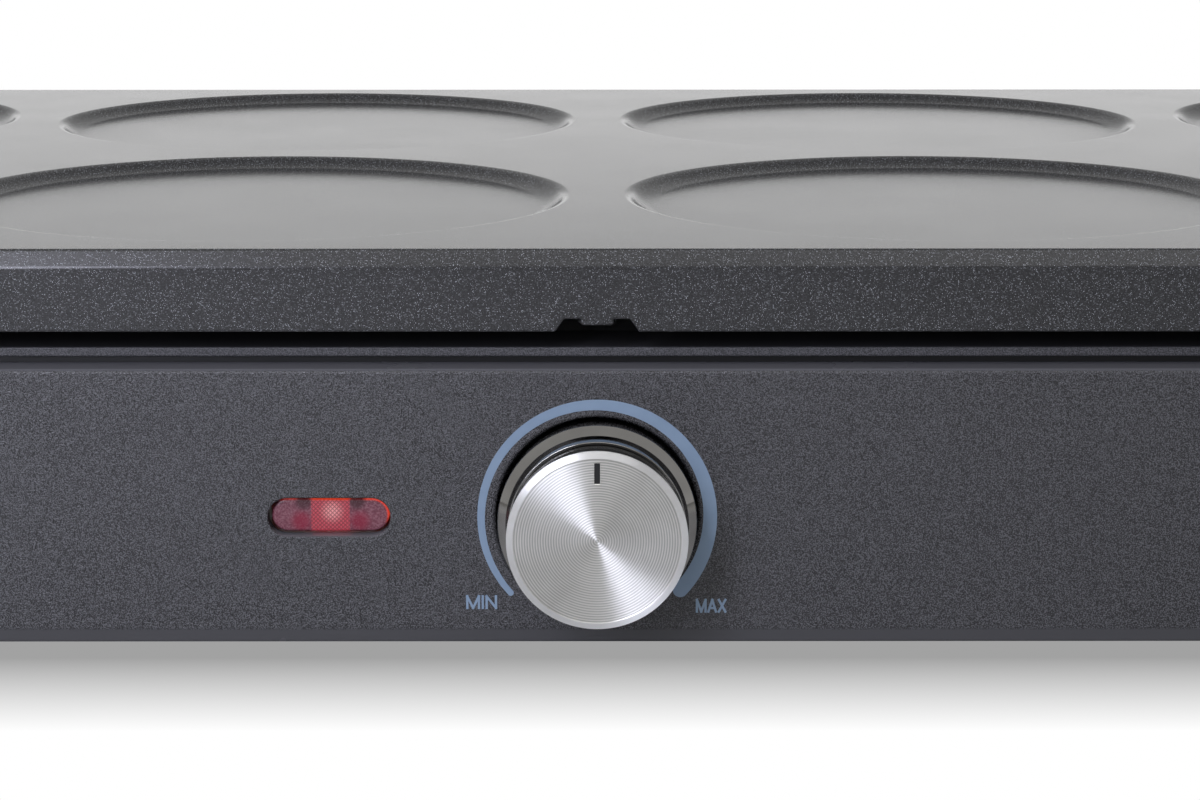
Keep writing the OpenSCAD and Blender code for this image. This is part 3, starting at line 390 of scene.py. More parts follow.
def add(tree: NodeTree, kind: str, inputs: dict[str | int, Source] | None = None,
        stops: Sequence[tuple[float, str]] = (), **settings: object) -> Node:
    """Adds a node with its settings, input values and links.

    Args:
        tree: The material's or world's nodes.
        kind: The node's type.
        inputs: Input name or number, with its value, the output that feeds it, or the node whose
            first output in use feeds it.
        stops: Place and hex colour of each stop, for a colour ramp.
        settings: The node's own properties.

    Returns:
        The node.
    """
    node = tree.nodes.new(kind)
    for key, value in settings.items():
        setattr(node, key, value)
    for key, value in (inputs or {}).items():
        socket = node.inputs[key] if isinstance(key, int) else next(
            s for s in node.inputs if s.name == key and s.enabled)
        if isinstance(value, Node):
            value = output(value)
        if isinstance(value, NodeSocket):
            tree.links.new(value, socket)
        else:
            socket.default_value = value
    for i, (place, colour) in enumerate(stops):
        stop = node.color_ramp.elements[i] if i < 2 else node.color_ramp.elements.new(place)
        stop.position, stop.color = place, linear(colour)
    return node


def feed(tree: NodeTree, source: Node, shader: Node, name: str) -> None:
    """Links a node to one of the shader's inputs."""
    tree.links.new(output(source), shader.inputs[name])


def maths(tree: NodeTree, operation: str, *values: Source) -> Node:
    """A sum, product or other function of values."""
    return add(tree, "ShaderNodeMath", dict(enumerate(values)), operation=operation)


def vector(tree: NodeTree, operation: str, *values: Source) -> Node:
    """A sum, length or other function of vectors."""
    return add(tree, "ShaderNodeVectorMath", dict(enumerate(values)), operation=operation)


def remap(tree: NodeTree, value: Source, span: Sequence[float],
          to: Sequence[float] = (0.0, 1.0), smooth: bool = False) -> Node:
    """A value carried from one span to another, and held at the ends.

    Args:
        tree: The nodes.
        value: What is carried.
        span: First and last value.
        to: What they become.
        smooth: Whether the change starts and ends gently.

    Returns:
        The node.
    """
    return add(tree, "ShaderNodeMapRange",
               {"Value": value, "From Min": span[0], "From Max": span[1], "To Min": to[0], "To Max": to[1]},
               interpolation_type="SMOOTHSTEP" if smooth else "LINEAR")


def blend(tree: NodeTree, share: Source, first: Source, second: Source,
          data_type: str = "RGBA", blend_type: str = "MIX") -> Node:
    """A share of the second colour, or value, in the first."""
    return add(tree, "ShaderNodeMix", {"Factor": share, "A": first, "B": second},
               data_type=data_type, blend_type=blend_type)


def noise(tree: NodeTree, place: Source, cell_mm: float, detail: float,
          roughness: float = 0.5) -> Node:
    """Cloudy noise with cells of one size."""
    return add(tree, "ShaderNodeTexNoise", {"Vector": place, "Scale": 1.0 / (cell_mm * MM),
                                            "Detail": detail, "Roughness": roughness})


def object_place(tree: NodeTree) -> NodeSocket:
    """Where a point lies on its piece."""
    return add(tree, "ShaderNodeTexCoord").outputs["Object"]


def facing_up(tree: NodeTree) -> NodeSocket:
    """How far a face looks up, from -1 to 1."""
    normal = add(tree, "ShaderNodeTexCoord").outputs["Normal"]
    return add(tree, "ShaderNodeSeparateXYZ", {"Vector": normal}).outputs["Z"]


class Pattern(Enum):
    """How a surface was made: the detail of its relief, and its scale along the length."""

    GRAIN = (3.0, 1.0)
    CAST = (1.0, 1.0)
    BRUSHED = (3.0, 0.03)


@dataclass(frozen=True)
class Finish:
    """A material with a drifting colour, uneven gloss and a relief of its own size.

    The colour goes from colour to shade in patches of drift_mm, the roughness between its two
    values in the same patches, and the relief has cells of grain_mm and depth grain_depth_mm.
    """

    name: str
    colour: str
    shade: str
    metallic: float = 0.0
    roughness: tuple[float, float] = (0.4, 0.5)
    drift_mm: float = 14.0
    grain_mm: float = 0.5
    grain_depth_mm: float = 0.01
    pattern: Pattern = Pattern.GRAIN
    ior: float = 1.5

    def material(self) -> bpy.types.Material:
        """The material, made once and then shared."""
        made = bpy.data.materials.get(self.name)
        if made is not None:
            return made
        made = bpy.data.materials.new(self.name)
        made.use_nodes = True
        made.diffuse_color = linear(self.colour)
        shader = made.node_tree.nodes["Principled BSDF"]
        shader.inputs["Metallic"].default_value = self.metallic
        shader.inputs["IOR"].default_value = self.ior
        self.dress(made.node_tree, shader)
        return made

    def dress(self, tree: NodeTree, shader: Node) -> None:
        """Adds colour, gloss and relief to the shader."""
        place = object_place(tree)
        drift = self.drift(tree, place)
        feed(tree, self.film(tree, drift), shader, "Base Color")
        self.gloss(tree, shader, drift)
        self.relief(tree, shader, place)

    def drift(self, tree: NodeTree, place: Source) -> Node:
        """The slow noise that colour and gloss drift with."""
        return noise(tree, place, self.drift_mm, detail=3.0)

    def film(self, tree: NodeTree, drift: Node) -> Node:
        """The colour, drifting to its shade."""
        return add(tree, "ShaderNodeValToRGB", {"Fac": drift},
                   stops=[(DRIFT_SPAN[0], self.colour), (DRIFT_SPAN[1], self.shade)])

    def gloss(self, tree: NodeTree, shader: Node, drift: Node) -> None:
        """Lets the roughness drift between its two values."""
        feed(tree, remap(tree, drift, DRIFT_SPAN, self.roughness), shader, "Roughness")

    def relief(self, tree: NodeTree, shader: Node, place: Source) -> None:
        """Adds the pattern's relief: fine noise, drawn out along the length for brushed lines."""
        if self.grain_depth_mm > 0.0:
            detail, along = self.pattern.value
            drawn = vector(tree, "MULTIPLY", place, (along, 1.0, 1.0))
            self.emboss(tree, shader, noise(tree, drawn, self.grain_mm, detail, roughness=0.55))

    def emboss(self, tree: NodeTree, shader: Node, height: Node) -> None:
        """Raises the surface by a height from 0 to 1, times the grain's depth."""
        depth = self.grain_depth_mm * MM
        bump = add(tree, "ShaderNodeBump", {"Height": height, "Distance": depth, "Strength": 1.0})
        feed(tree, bump, shader, "Normal")


@dataclass(frozen=True)
class GrainedPlastic(Finish):
    """Moulding with a spark-eroded grain: painted shade in hollows, painted highlight on tops, glints where a top
    faces the light.

    The grain is noise of grain_mm, with hollows and tops over two spans of it. Below smooth_and_shade_below_mm
    the grain stops and the plastic takes the tone of below: a smooth heel on the housing, and painted
    shade in the recess under the frame's flange. On faces that look up by more than upward_highlight_facing the
    grain stops too, and the plastic takes the tone of rim: on the housing's lip a painted highlight.
    """

    # Painted shade in the grain's hollows, and a painted highlight on its tops
    hollow_shade: str = "#101011"
    hollow_shade_span: tuple[float, float] = (0.5, 0.3)
    top: str = "#5c5c62"
    top_highlight_span: tuple[float, float] = (0.5, 0.72)
    # Tone of faces that look up: on the housing's lip a painted highlight, paler than the plastic
    rim: str = "#404043"
    upward_highlight_facing: tuple[float, float] = (0.9, 0.5)
    # Tone below smooth_and_shade_below_mm: a smooth heel on the housing, painted shade in the recess under the
    # frame's flange
    below: str = "#404043"
    smooth_and_shade_below_mm: float = -1000.0
    smooth_fade_mm: float = 0.5

    def dress(self, tree: NodeTree, shader: Node) -> None:
        """Adds the grain as colour and relief, the painted shade and highlights, and the gloss."""
        place = object_place(tree)
        drift = self.drift(tree, place)
        grain = noise(tree, place, self.grain_mm, detail=0.0)
        height = add(tree, "ShaderNodeSeparateXYZ", {"Vector": place}).outputs["Z"]
        fade = (self.smooth_and_shade_below_mm, self.smooth_and_shade_below_mm + self.smooth_fade_mm)
        above = remap(tree, height, metres(fade))
        upright = remap(tree, facing_up(tree), self.upward_highlight_facing)
        grained = maths(tree, "MULTIPLY", above, upright)
        # Painted shade in the grain's hollows and a painted highlight on its tops, from the grain's own noise
        low = maths(tree, "MULTIPLY", remap(tree, grain, self.hollow_shade_span), grained)
        high = maths(tree, "MULTIPLY", remap(tree, grain, self.top_highlight_span), grained)
        # Below that height the grain stops and the plastic takes the tone of below: painted shade on the frame
        foot = blend(tree, above, linear(self.below), self.film(tree, drift))
        # Faces that look up take the tone of rim in place of grain: a painted highlight
        smooth = blend(tree, upright, linear(self.rim), foot)
        darker = blend(tree, low, smooth, linear(self.hollow_shade))
        feed(tree, blend(tree, high, darker, linear(self.top)), shader, "Base Color")
        self.emboss(tree, shader, maths(tree, "MULTIPLY", grain, grained))
        self.gloss(tree, shader, drift)


@dataclass(frozen=True)
class SpeckledCoating(Finish):
    """Sprayed non-stick coating on cast aluminium: a dark film with pale metallic flecks in it.

    A fleck lies round the middle of each cell of fleck_mm, full to the first of its reaches and
    gone at the second. Its strength is a power of a random number, so that a few are bright and
    most are faint. Faces that look down are bare and as rough as they were cast.
    """

    fleck: str = "#dfe3ea"
    fleck_mm: float = 0.18
    fleck_reach: tuple[float, float] = (0.144, 0.48)
    fleck_power: float = 5.0
    pit: str = "#101011"
    bead: str = "#404041"
    bead_mm: float = 0.14
    bead_span: tuple[float, float] = (0.3, 0.7)
    bead_share: float = 0.75
    underside_roughness: float = 0.8
    underside_facing: tuple[float, float] = (-0.3, -0.6)

    def dress(self, tree: NodeTree, shader: Node) -> None:
        """Adds the film with its fine beads, its flecks and the soft peel of a sprayed coat."""
        place = object_place(tree)
        drift = self.drift(tree, place)
        beads = add(tree, "ShaderNodeValToRGB", {"Fac": noise(tree, place, self.bead_mm, detail=0.0)},
                    stops=[(self.bead_span[0], self.pit), (self.bead_span[1], self.bead)])
        coat = blend(tree, self.bead_share, self.film(tree, drift), beads)
        cells = add(tree, "ShaderNodeTexVoronoi", {"Vector": place, "Scale": 1.0 / (self.fleck_mm * MM)})
        near = remap(tree, cells.outputs["Distance"], self.fleck_reach, (1.0, 0.0))
        lot = add(tree, "ShaderNodeSeparateColor", {"Color": cells.outputs["Color"]}).outputs["Red"]
        flecked = maths(tree, "MULTIPLY", near, maths(tree, "POWER", lot, self.fleck_power))
        feed(tree, blend(tree, flecked, coat, linear(self.fleck)), shader, "Base Color")
        self.gloss(tree, shader, drift)
        self.relief(tree, shader, place)

    def gloss(self, tree: NodeTree, shader: Node, drift: Node) -> None:
        """Keeps the sprayed faces satin and the underside rough."""
        satin = remap(tree, drift, DRIFT_SPAN, self.roughness)
        under = remap(tree, facing_up(tree), self.underside_facing)
        level = blend(tree, under, satin, self.underside_roughness, data_type="FLOAT")
        feed(tree, level, shader, "Roughness")


@dataclass(frozen=True)
class TurnedAluminium(Finish):
    """Disc faced on a lathe: rings of pitch_mm inside a plain bevel, which starts at rim_mm.

    The highlight is drawn out across the rings, along the way from the middle out to a point,
    and the bottoms of the cuts get painted shade, down to groove_shade_level of the tone.
    """

    centre_mm: tuple[float, float, float] = (0.0, 0.0, 0.0)
    stretch: float = 0.97
    pitch_mm: float = 0.44
    rim_mm: float = 14.1
    # Share of the tone left at the bottom of a cut: painted shade in the grooves
    groove_shade_level: float = 0.6
    bevel: str = "#ffffff"

    def dress(self, tree: NodeTree, shader: Node) -> None:
        """Adds the drifting tone, rings of painted shade, the plain bevel and the highlight's direction."""
        super().dress(tree, shader)
        out = vector(tree, "SUBTRACT", object_place(tree), metres(self.centre_mm))
        turned = add(tree, "ShaderNodeVectorTransform", {"Vector": out},
                     vector_type="VECTOR", convert_from="OBJECT", convert_to="WORLD")
        feed(tree, turned, shader, "Tangent")
        shader.inputs["Anisotropic"].default_value = self.stretch
        radius = vector(tree, "LENGTH", vector(tree, "MULTIPLY", out, (1.0, 0.0, 1.0)))
        turns = maths(tree, "MULTIPLY", radius, 2 * math.pi / (self.pitch_mm * MM))
        # Painted shade: the tone drops to groove_shade_level at the bottom of each cut
        level = remap(tree, maths(tree, "COSINE", turns), (-1.0, 1.0), (self.groove_shade_level, 1.0))
        tone = shader.inputs["Base Color"].links[0].from_socket
        rings = blend(tree, 1.0, tone, level, blend_type="MULTIPLY")
        outside = maths(tree, "GREATER_THAN", radius, self.rim_mm * MM)
        feed(tree, blend(tree, outside, rings, linear(self.bevel)), shader, "Base Color")


@dataclass(frozen=True)
class Spot:
    """A soft patch of colour: at its level within the first reach, and gone at the second."""

    colour: str
    at_mm: tuple[float, float]
    reach_mm: tuple[float, float]
    level: float = 1.0

    def strength(self, tree: NodeTree, place: Source) -> Node:
        """How strong the patch is at a place."""
        away = vector(tree, "DISTANCE", place, metres((self.at_mm[0], 0.0, self.at_mm[1])))
        return remap(tree, away, metres(self.reach_mm), (self.level, 0.0), smooth=True)


@dataclass(frozen=True)
class PilotLens(Finish):
    """Moulded red polycarbonate: frosted ends, a lit middle behind small diamonds, and a rim with painted glow.

    Distances are from the lens's middle. The lit field is the stretch within lit_half_mm of the
    middle, with a hot spot in it, and two sets of slanting lines of line_mm cut it into diamonds.
    Each half has a crimson and a shaded patch. The rim starts at the first of two depths inside
    the outline and is full at the second. Its glow is painted: it shines where it faces up or to
    the right, which grows over the span rim_from_mm.
    """

    centre_mm: tuple[float, float, float] = (0.0, 0.0, 0.0)
    size_mm: tuple[float, float] = (20.2, 5.8)
    speck_mm: float = 0.3
    speck_span: tuple[float, float] = (0.35, 0.7)
    crimson: Spot = Spot("#8c1236", (5.0, -1.1), (0.7, 2.4), 0.85)
    shaded: Spot = Spot("#4a1c28", (4.6, 2.3), (0.8, 1.9), 0.9)
    hot: Spot = Spot("#ffb0b4", (0.3, 0.6), (0.2, 2.6))
    lit: str = "#c8505f"
    unlit: str = "#5a1420"
    lit_half_mm: float = 3.3
    lit_fade_mm: float = 0.12
    line_mm: float = 0.36
    line_share: float = 0.55
    line_level: float = 0.1
    # Painted glow along the rim, at its upper and right edge only
    rim: str = "#ff4a20"
    rim_level: float = 0.75
    rim_mm: tuple[float, float] = (0.484, 0.22)
    rim_lean: float = 0.22
    rim_from_mm: tuple[float, float] = (0.4, 2.2)
    emission: float = 0.7

    def dress(self, tree: NodeTree, shader: Node) -> None:
        """Adds the frosted body with its patches, the lit field with its diamonds, and the rim's painted glow."""
        place = object_place(tree)
        off = vector(tree, "SUBTRACT", place, metres(self.centre_mm))
        axes = add(tree, "ShaderNodeSeparateXYZ", {"Vector": off})
        x, z = axes.outputs["X"], axes.outputs["Z"]
        away = maths(tree, "ABSOLUTE", x)

        # Frosted ends: dusty red with fine pale specks
        specks = noise(tree, place, self.speck_mm, detail=2.0)
        frost = add(tree, "ShaderNodeValToRGB", {"Fac": specks},
                    stops=[(self.speck_span[0], self.colour), (self.speck_span[1], self.shade)])
        folded = add(tree, "ShaderNodeCombineXYZ", {"X": away, "Z": z})
        red = blend(tree, self.crimson.strength(tree, folded), frost, linear(self.crimson.colour))
        dim = self.shaded.strength(tree, folded)
        body = blend(tree, dim, red, linear(self.shaded.colour))

        # Lit field: a hot spot that fades to red, cut into diamonds by slanting lines
        glow = blend(tree, self.hot.strength(tree, off), linear(self.lit), linear(self.hot.colour))
        waves = [maths(tree, "PINGPONG", maths(tree, way, x, z), self.line_mm * MM)
                 for way in ("ADD", "SUBTRACT")]
        facet = remap(tree, maths(tree, "MINIMUM", *waves), metres((0.0, self.line_mm * self.line_share)),
                      (self.line_level, 1.0))
        lit_field = remap(tree, away, metres((self.lit_half_mm - self.lit_fade_mm,
                                              self.lit_half_mm + self.lit_fade_mm)), (1.0, 0.0))
        level = maths(tree, "MULTIPLY", lit_field, facet)

        # Rim: painted glow at the upper and right edge only, for the lamp's light carried inside the moulding
        middle_line = (self.size_mm[0] - self.size_mm[1]) / 2 * MM
        past = maths(tree, "MAXIMUM", maths(tree, "SUBTRACT", away, middle_line), 0.0)
        from_line = vector(tree, "LENGTH", add(tree, "ShaderNodeCombineXYZ", {"X": past, "Z": z}))
        at_rim = remap(tree, from_line, metres([self.size_mm[1] / 2 - depth for depth in self.rim_mm]))
        leaning = maths(tree, "MULTIPLY_ADD", x, self.rim_lean, z)
        bright = maths(tree, "MULTIPLY", at_rim, remap(tree, leaning, metres(self.rim_from_mm)))
        painted_rim_glow = maths(tree, "MULTIPLY", bright, maths(tree, "SUBTRACT", 1.0, dim))

        lit_up = blend(tree, level, linear("#000000"), glow)
        emitted = blend(tree, painted_rim_glow, lit_up, linear(self.rim, self.rim_level))
        feed(tree, blend(tree, lit_field, body, linear(self.unlit)), shader, "Base Color")
        feed(tree, emitted, shader, "Emission Color")
        shader.inputs["Emission Strength"].default_value = self.emission
        self.gloss(tree, shader, specks)


# ABS with a spark-eroded mould finish: charcoal with tiny glints where the grain faces the light, painted
# shade in the grain's hollows, and a painted highlight on faces that look up, such as the lip. The real
# grain is finer, and is drawn coarser so that it shows at this distance
HOUSING_ABS = GrainedPlastic("housing_charcoal_abs", "#414144", "#444447", roughness=(0.24, 0.28),
                             drift_mm=30.0, grain_mm=0.2, grain_depth_mm=0.11, ior=1.54, hollow_shade="#121214",
                             top="#66666a", rim="#78787d", below="#4a4a4d", smooth_and_shade_below_mm=6.1)
# Glass-filled nylon of the frame, which takes more heat: the same grain, duller, with painted shade low down in
# the recess under its flange
FRAME_NYLON = GrainedPlastic("frame_glass_filled_nylon", "#4a4a4e", "#4d4d51", roughness=(0.44, 0.5),
                             drift_mm=30.0, grain_mm=0.2, grain_depth_mm=0.07, ior=1.54, hollow_shade="#2d2d30",
                             top="#6a6a6e", below="#1c1c1e", smooth_and_shade_below_mm=52.9)
# Sprayed PTFE coat on a casting: dark grey, satin, with pale flecks that show best on upright faces
PLATE_COATING = SpeckledCoating("plate_flecked_nonstick", "#28282a", "#2b2b2d", roughness=(0.19, 0.2),
                                drift_mm=22.0, grain_mm=0.3, grain_depth_mm=0.004, pattern=Pattern.CAST)
# Nickel and chrome plate on a moulding: a mirror with a faint polishing haze
KNOB_CHROME = Finish("knob_nickel_chrome", "#a8a6a3", "#a09e9b", metallic=1.0, roughness=(0.05, 0.09),
                     drift_mm=6.0, grain_mm=2.0, grain_depth_mm=0.0008, pattern=Pattern.CAST)
# Ring of the knob between collar and cap: glossy black, a painted dark reflection in place of the plating
BARREL_PAINTED_DARK = Finish("knob_barrel_painted_dark_reflection", "#141416", "#18181b", roughness=(0.12, 0.16), drift_mm=6.0,
                      grain_depth_mm=0.0)
# Cut edge of the pointer's slot, brighter than the rings round it
CUT_EDGE = Finish("pointer_cut_edge", "#f2f1ee", "#eae9e5", metallic=1.0, roughness=(0.15, 0.2),
                  drift_mm=2.0, grain_depth_mm=0.0)
# Black paint in the pointer's slot: satin and slightly uneven
POINTER_PAINT = Finish("pointer_black_paint", "#0f0f11", "#17171a", roughness=(0.4, 0.5), grain_mm=0.2,
                       grain_depth_mm=0.004)
# Pad-printed blue-grey ink: flat and even, duller than the plastic under it
SCALE_INK = Finish("scale_blue_grey_ink", "#8fa5bd", "#889eb7", roughness=(0.42, 0.5), drift_mm=5.0,
                   grain_mm=0.3, grain_depth_mm=0.02)
# Stainless heater tube, tempered brown and blue by heat
HEATER_SHEATH = Finish("heater_tempered_stainless", "#5d5148", "#4a4a55", metallic=1.0, roughness=(0.35, 0.5),
                       drift_mm=16.0, grain_mm=0.3, grain_depth_mm=0.004)


def silicone(name: str, colour: str, shade: str) -> Finish:
    """Silicone sleeve of a lead: soft sheen with a fine extruded grain."""
    return Finish(name, colour, shade, roughness=(0.5, 0.62), drift_mm=8.0, grain_mm=0.3,
                  grain_depth_mm=0.004)


# Finishes of the solids that keep their meshes, by the record's slot
SLOT_FINISHES: dict[str, Finish] = {
    # Phenolic grips: near black with a satin skin
    "handle_plastic": Finish("handle_satin_phenolic", "#242427", "#2a2a2d", roughness=(0.36, 0.46),
                             grain_depth_mm=0.02),
    # Natural rubber: dull black that barely reflects
    "foot_rubber": Finish("foot_black_rubber", "#161616", "#1d1d1d", roughness=(0.7, 0.85), grain_mm=0.6,
                          grain_depth_mm=0.02),
    # Off-white thermoplastic of lamp and terminal housings
    "holder_white": Finish("holder_white_nylon", "#dedad0", "#d5d0c4", grain_depth_mm=0.006),
    # Fired steatite: chalky off-white
    "steatite": Finish("rest_unglazed_steatite", "#d9d4c6", "#cdc7b8", roughness=(0.6, 0.75), grain_mm=0.3),
    # Zinc-plated steel: pale with a cloudy passivated film
    "zinc_steel": Finish("zinc_plated_steel", "#c9cacd", "#b4b7bb", metallic=1.0, roughness=(0.25, 0.4),
                         drift_mm=3.0, grain_mm=0.3, grain_depth_mm=0.003),
    # Aluminised sheet: soft spangle, drawn slightly along the rolling direction
    "reflector_steel": Finish("reflector_aluminised_steel", "#c3c4c6", "#b4b6b9", metallic=1.0,
                              roughness=(0.36, 0.46), drift_mm=9.0, grain_mm=0.4, grain_depth_mm=0.004,
                              pattern=Pattern.BRUSHED),
    # Bare drawn copper of the sensor and its capillary
    "copper": Finish("sensor_bare_copper", "#c98a66", "#b5714d", metallic=1.0, roughness=(0.25, 0.38),
                     drift_mm=4.0, grain_mm=0.3, grain_depth_mm=0.003),
    # Turned brass terminals
    "brass": Finish("terminal_turned_brass", "#cfae64", "#b99548", metallic=1.0, roughness=(0.22, 0.34),
                    drift_mm=3.0, grain_mm=0.3, grain_depth_mm=0.002),
    # Cream phenolic of the thermostat
    "thermostat_moulding": Finish("thermostat_cream_phenolic", "#d2c7ab", "#c6ba9c", roughness=(0.4, 0.52),
                                  grain_depth_mm=0.008),
    # Satin nylon of the cord gland
    "gland_plastic": Finish("gland_black_nylon", "#1d1d20", "#232326", roughness=(0.42, 0.52),
                            grain_depth_mm=0.015),
    # Neon lamp's glass, warm from its electrodes
    "lamp_glass": Finish("lamp_warm_glass", "#f0c0a4", "#e8a888", roughness=(0.05, 0.1), grain_depth_mm=0.0),
    # Coloured sleeves of the leads
    "lead_brown": silicone("lead_brown_silicone", "#6b4028", "#5c3522"),
    "lead_black": silicone("lead_black_silicone", "#232325", "#2b2b2e"),
    "lead_blue": silicone("lead_blue_silicone", "#2f5fa8", "#2a5596"),
    "lead_green": silicone("lead_green_silicone", "#8ea338", "#c2b53c"),
    "lead_white": silicone("lead_white_silicone", "#d6d5d0", "#c9c8c2"),
}


# Sub-assemblies


@dataclass
class GriddlePlate:
    """Cast plate: moulds in its deck, a bevelled edge, a skirt with a notch, ribs and sockets below."""

    columns: int = 4
    rows: int = 2
    mould_d: float = 119.0
    mould_depth: float = 2.0
    shoulder_r: float = 2.8
    floor_r: float = 6.0
    mould_steps: int = 12
    land_x: float = 10.0
    land_y: float = 9.0
    edge_r: float = 4.0
    bevel_run: float = 1.7
    bevel_drop: float = 3.0
    bevel_r: float = 0.7
    crease_r: float = 1.2
    corner_r: float = 40.0
    deck_t: float = 7.5
    skirt_t: float = 3.0
    rim_r: float = 0.4
    under_r: float = 1.5
    notch_w: float = 14.2
    notch_h: float = 2.2
    notch_run: float = 1.5
    notch_r: float = 0.5
    notch_window: float = 9.0
    tab_w: float = 5.0
    tab_root_w: float = 6.8
    tab_root_r: float = 0.2
    tab_blend: float = 0.4
    tab_h: float = 1.1
    rib_t: float = 2.5
    rib_h: float = 4.0
    rib_offset: float = 6.05
    rib_inset: float = 10.0
    rib_r: float = 0.8
    rib_bevel: float = 0.3
    heater_legs: int = 4
    heater_d: float = 6.6
    boss_r: float = 7.0
    boss_h: float = 5.0
    boss_edge_r: float = 0.6
    boss_steps: int = 48
    socket_r: float = 3.8
    socket_edge_r: float = 0.4
    socket_depth: float = 3.5
    rest_d: float = 12.0
    rays: int = 180
    box: Box = field(default_factory=lambda: Box.of("griddle_plate"))
    heater: Box = field(default_factory=lambda: Box.of("heating_element"))
    rests: Box = field(default_factory=lambda: Box.of("plate_rests"))

    def build(self) -> None:
        """Makes the casting as one piece."""
        shell = Shell()
        half = self.box.size[:2] / 2 - self.edge_r
        cells = [self._cell(i, j, half) for i in range(self.columns) for j in range(self.rows)]
        for cell in cells:
            shell.grid(cell, close_u=True)
        self._skirt(shell, np.concatenate([cell[:, -1, :2] for cell in cells]), half)
        self._underside(shell)
        shell.build("cast_griddle_plate", PLATE_COATING, Body.PLATE, "plate_coating", ["griddle_plate"])

    def _mould_profile(self) -> np.ndarray:
        """Radius and height along one ray: floor, fillet, leaning wall and rounded shoulder.

        The fillet and the shoulder touch where both lean by the same angle.

        Returns:
            Points from the mould's middle to its mouth, with heights below the deck.
        """
        reach = self.shoulder_r + self.floor_r
        lean = math.degrees(math.asin((reach - self.mould_depth) / reach))
        foot = self.mould_d / 2 - reach * math.cos(math.radians(lean))
        fillet = arc((foot, self.floor_r - self.mould_depth), self.floor_r, 270, 360 - lean, self.mould_steps)
        shoulder = arc((self.mould_d / 2, -self.shoulder_r), self.shoulder_r, 180 - lean, 90,
                       self.mould_steps)
        flat = np.array([[0.0, -self.mould_depth], [foot - SUPPORT, -self.mould_depth]])
        return np.concatenate([flat, fillet, shoulder[1:], [[self.mould_d / 2 + SUPPORT, 0.0]]])

    def _cell(self, column: int, row: int, half: np.ndarray) -> np.ndarray:
        """One mould and the land round it, as rays from the mould's middle to the cell's edge.

        Along a ray come the mould's profile and then the flat land. A ray ends on the cell's
        straight side, or on the arc of the plate's corner where the cell lies in one. All cells
        share their rays' directions, so that neighbours meet point to point.

        Args:
            column: Column of the mould.
            row: Row of the mould.
            half: Half of the flat top's length and width.

        Returns:
            Points [ray, place along the ray].
        """
        pitch = self.mould_d + np.array([self.land_x, self.land_y])
        count = np.array([self.columns, self.rows])
        middle = (np.array([column, row]) - (count - 1) / 2) * pitch
        inner = pitch / 2
        outer = half - (count - 1) / 2 * pitch
        round_r = self.corner_r - self.edge_r
        turn = outer - round_r
        met = np.array([inner, outer, (inner[0], outer[1]), (outer[0], inner[1]), (turn[0], outer[1]),
                        (outer[0], turn[1]), (inner[0] - self.notch_window, outer[1])])
        special = np.arctan2(met[:, 1], met[:, 0])
        even = np.linspace(0, 2 * np.pi, self.rays, endpoint=False)
        a = np.concatenate([even, special, np.pi - special, np.pi + special, 2 * np.pi - special])
        a = np.unique(np.round(a, decimals=9))
        way = np.stack([np.cos(a), np.sin(a)], axis=1)
        last = np.array([column in (0, self.columns - 1), row in (0, self.rows - 1)])
        at_end = (way * middle > 0) & last
        side = np.where(at_end, outer, inner)
        reach = (side / np.maximum(np.abs(way), TINY)).min(axis=1)
        towards = way * np.sign(middle)
        in_corner = at_end.all(axis=1) & (towards * reach[:, None] > turn + TINY).all(axis=1)
        along = towards @ turn
        bent = along + np.sqrt(np.maximum(along ** 2 - turn @ turn + round_r ** 2, 0.0))
        reach = np.where(in_corner, bent, reach)
        profile = self._mould_profile()
        radius = np.concatenate([np.broadcast_to(profile[:, 0], (len(a), len(profile))),
                                 (reach - SUPPORT)[:, None], reach[:, None]], axis=1)
        height = np.concatenate([profile[:, 1], [0.0, 0.0]])
        flat = self.box.middle[:2] + middle + way[:, None, :] * radius[:, :, None]
        return lift(flat, self.box.hi[2] + height[None, :], Axis.Z)

    def _skirt(self, shell: Shell, edge: np.ndarray, half: np.ndarray) -> None:
        """The bevelled edge, the skirt and its rim, carried along the flat top's outline.

        The outline is the cells' outer points in order of their direction from the middle. At
        the front a window is left out, and filled by faces that follow the notch.

        Args:
            shell: Gathers the surfaces.
            edge: Outer points of all cells.
            half: Half of the flat top's length and width.
        """
        top, bottom = self.box.hi[2], self.box.lo[2]
        under = top - self.deck_t
        round_r = self.corner_r - self.edge_r
        local = edge - self.box.middle[:2]
        out = local - np.clip(local, round_r - half, half - round_r)
        on_edge = np.linalg.norm(out, axis=1) > round_r - ON_EDGE
        turn = np.round(np.arctan2(local[on_edge, 1], local[on_edge, 0]), decimals=7)
        order = np.flatnonzero(on_edge)[np.unique(turn, return_index=True)[1]]
        path, out = edge[order], out[order] / np.linalg.norm(out[order], axis=1, keepdims=True)
        inside = self.edge_r - self.skirt_t
        head = filleted([(0, top), (self.edge_r - self.bevel_run, top, self.bevel_r),
                         (self.edge_r, top - self.bevel_drop, self.crease_r),
                         (self.edge_r, top - self.edge_r)])
        face = [[self.edge_r, top - self.edge_r - SUPPORT]]
        tail = filleted([(self.edge_r, top - self.edge_r), (self.edge_r, bottom, self.rim_r),
                         (inside, bottom, self.rim_r), (inside, under, self.under_r),
                         (inside - 2 * self.under_r, under)])[1:]
        profile = np.concatenate([head, face, tail])
        points = carry(path, out, profile)
        first = len(head)
        last = first + int(np.flatnonzero(np.isclose(tail[:, 0], inside)).max()) + 1
        front = (local[order, 1] < 0) & (np.abs(local[order, 0]) < self.notch_window + ON_EDGE)
        gone = front & np.roll(front, -1)
        keep = np.ones((len(path), len(profile) - 1), bool)
        keep[np.ix_(gone, np.arange(first, last))] = False
        shell.grid(points, close_u=True, keep=keep)
        shell.flat([points[:, -1, :2]], under, Axis.Z)
        self._notch(shell, points[front][np.argsort(points[front][:, 0, 0])], profile, first, last)

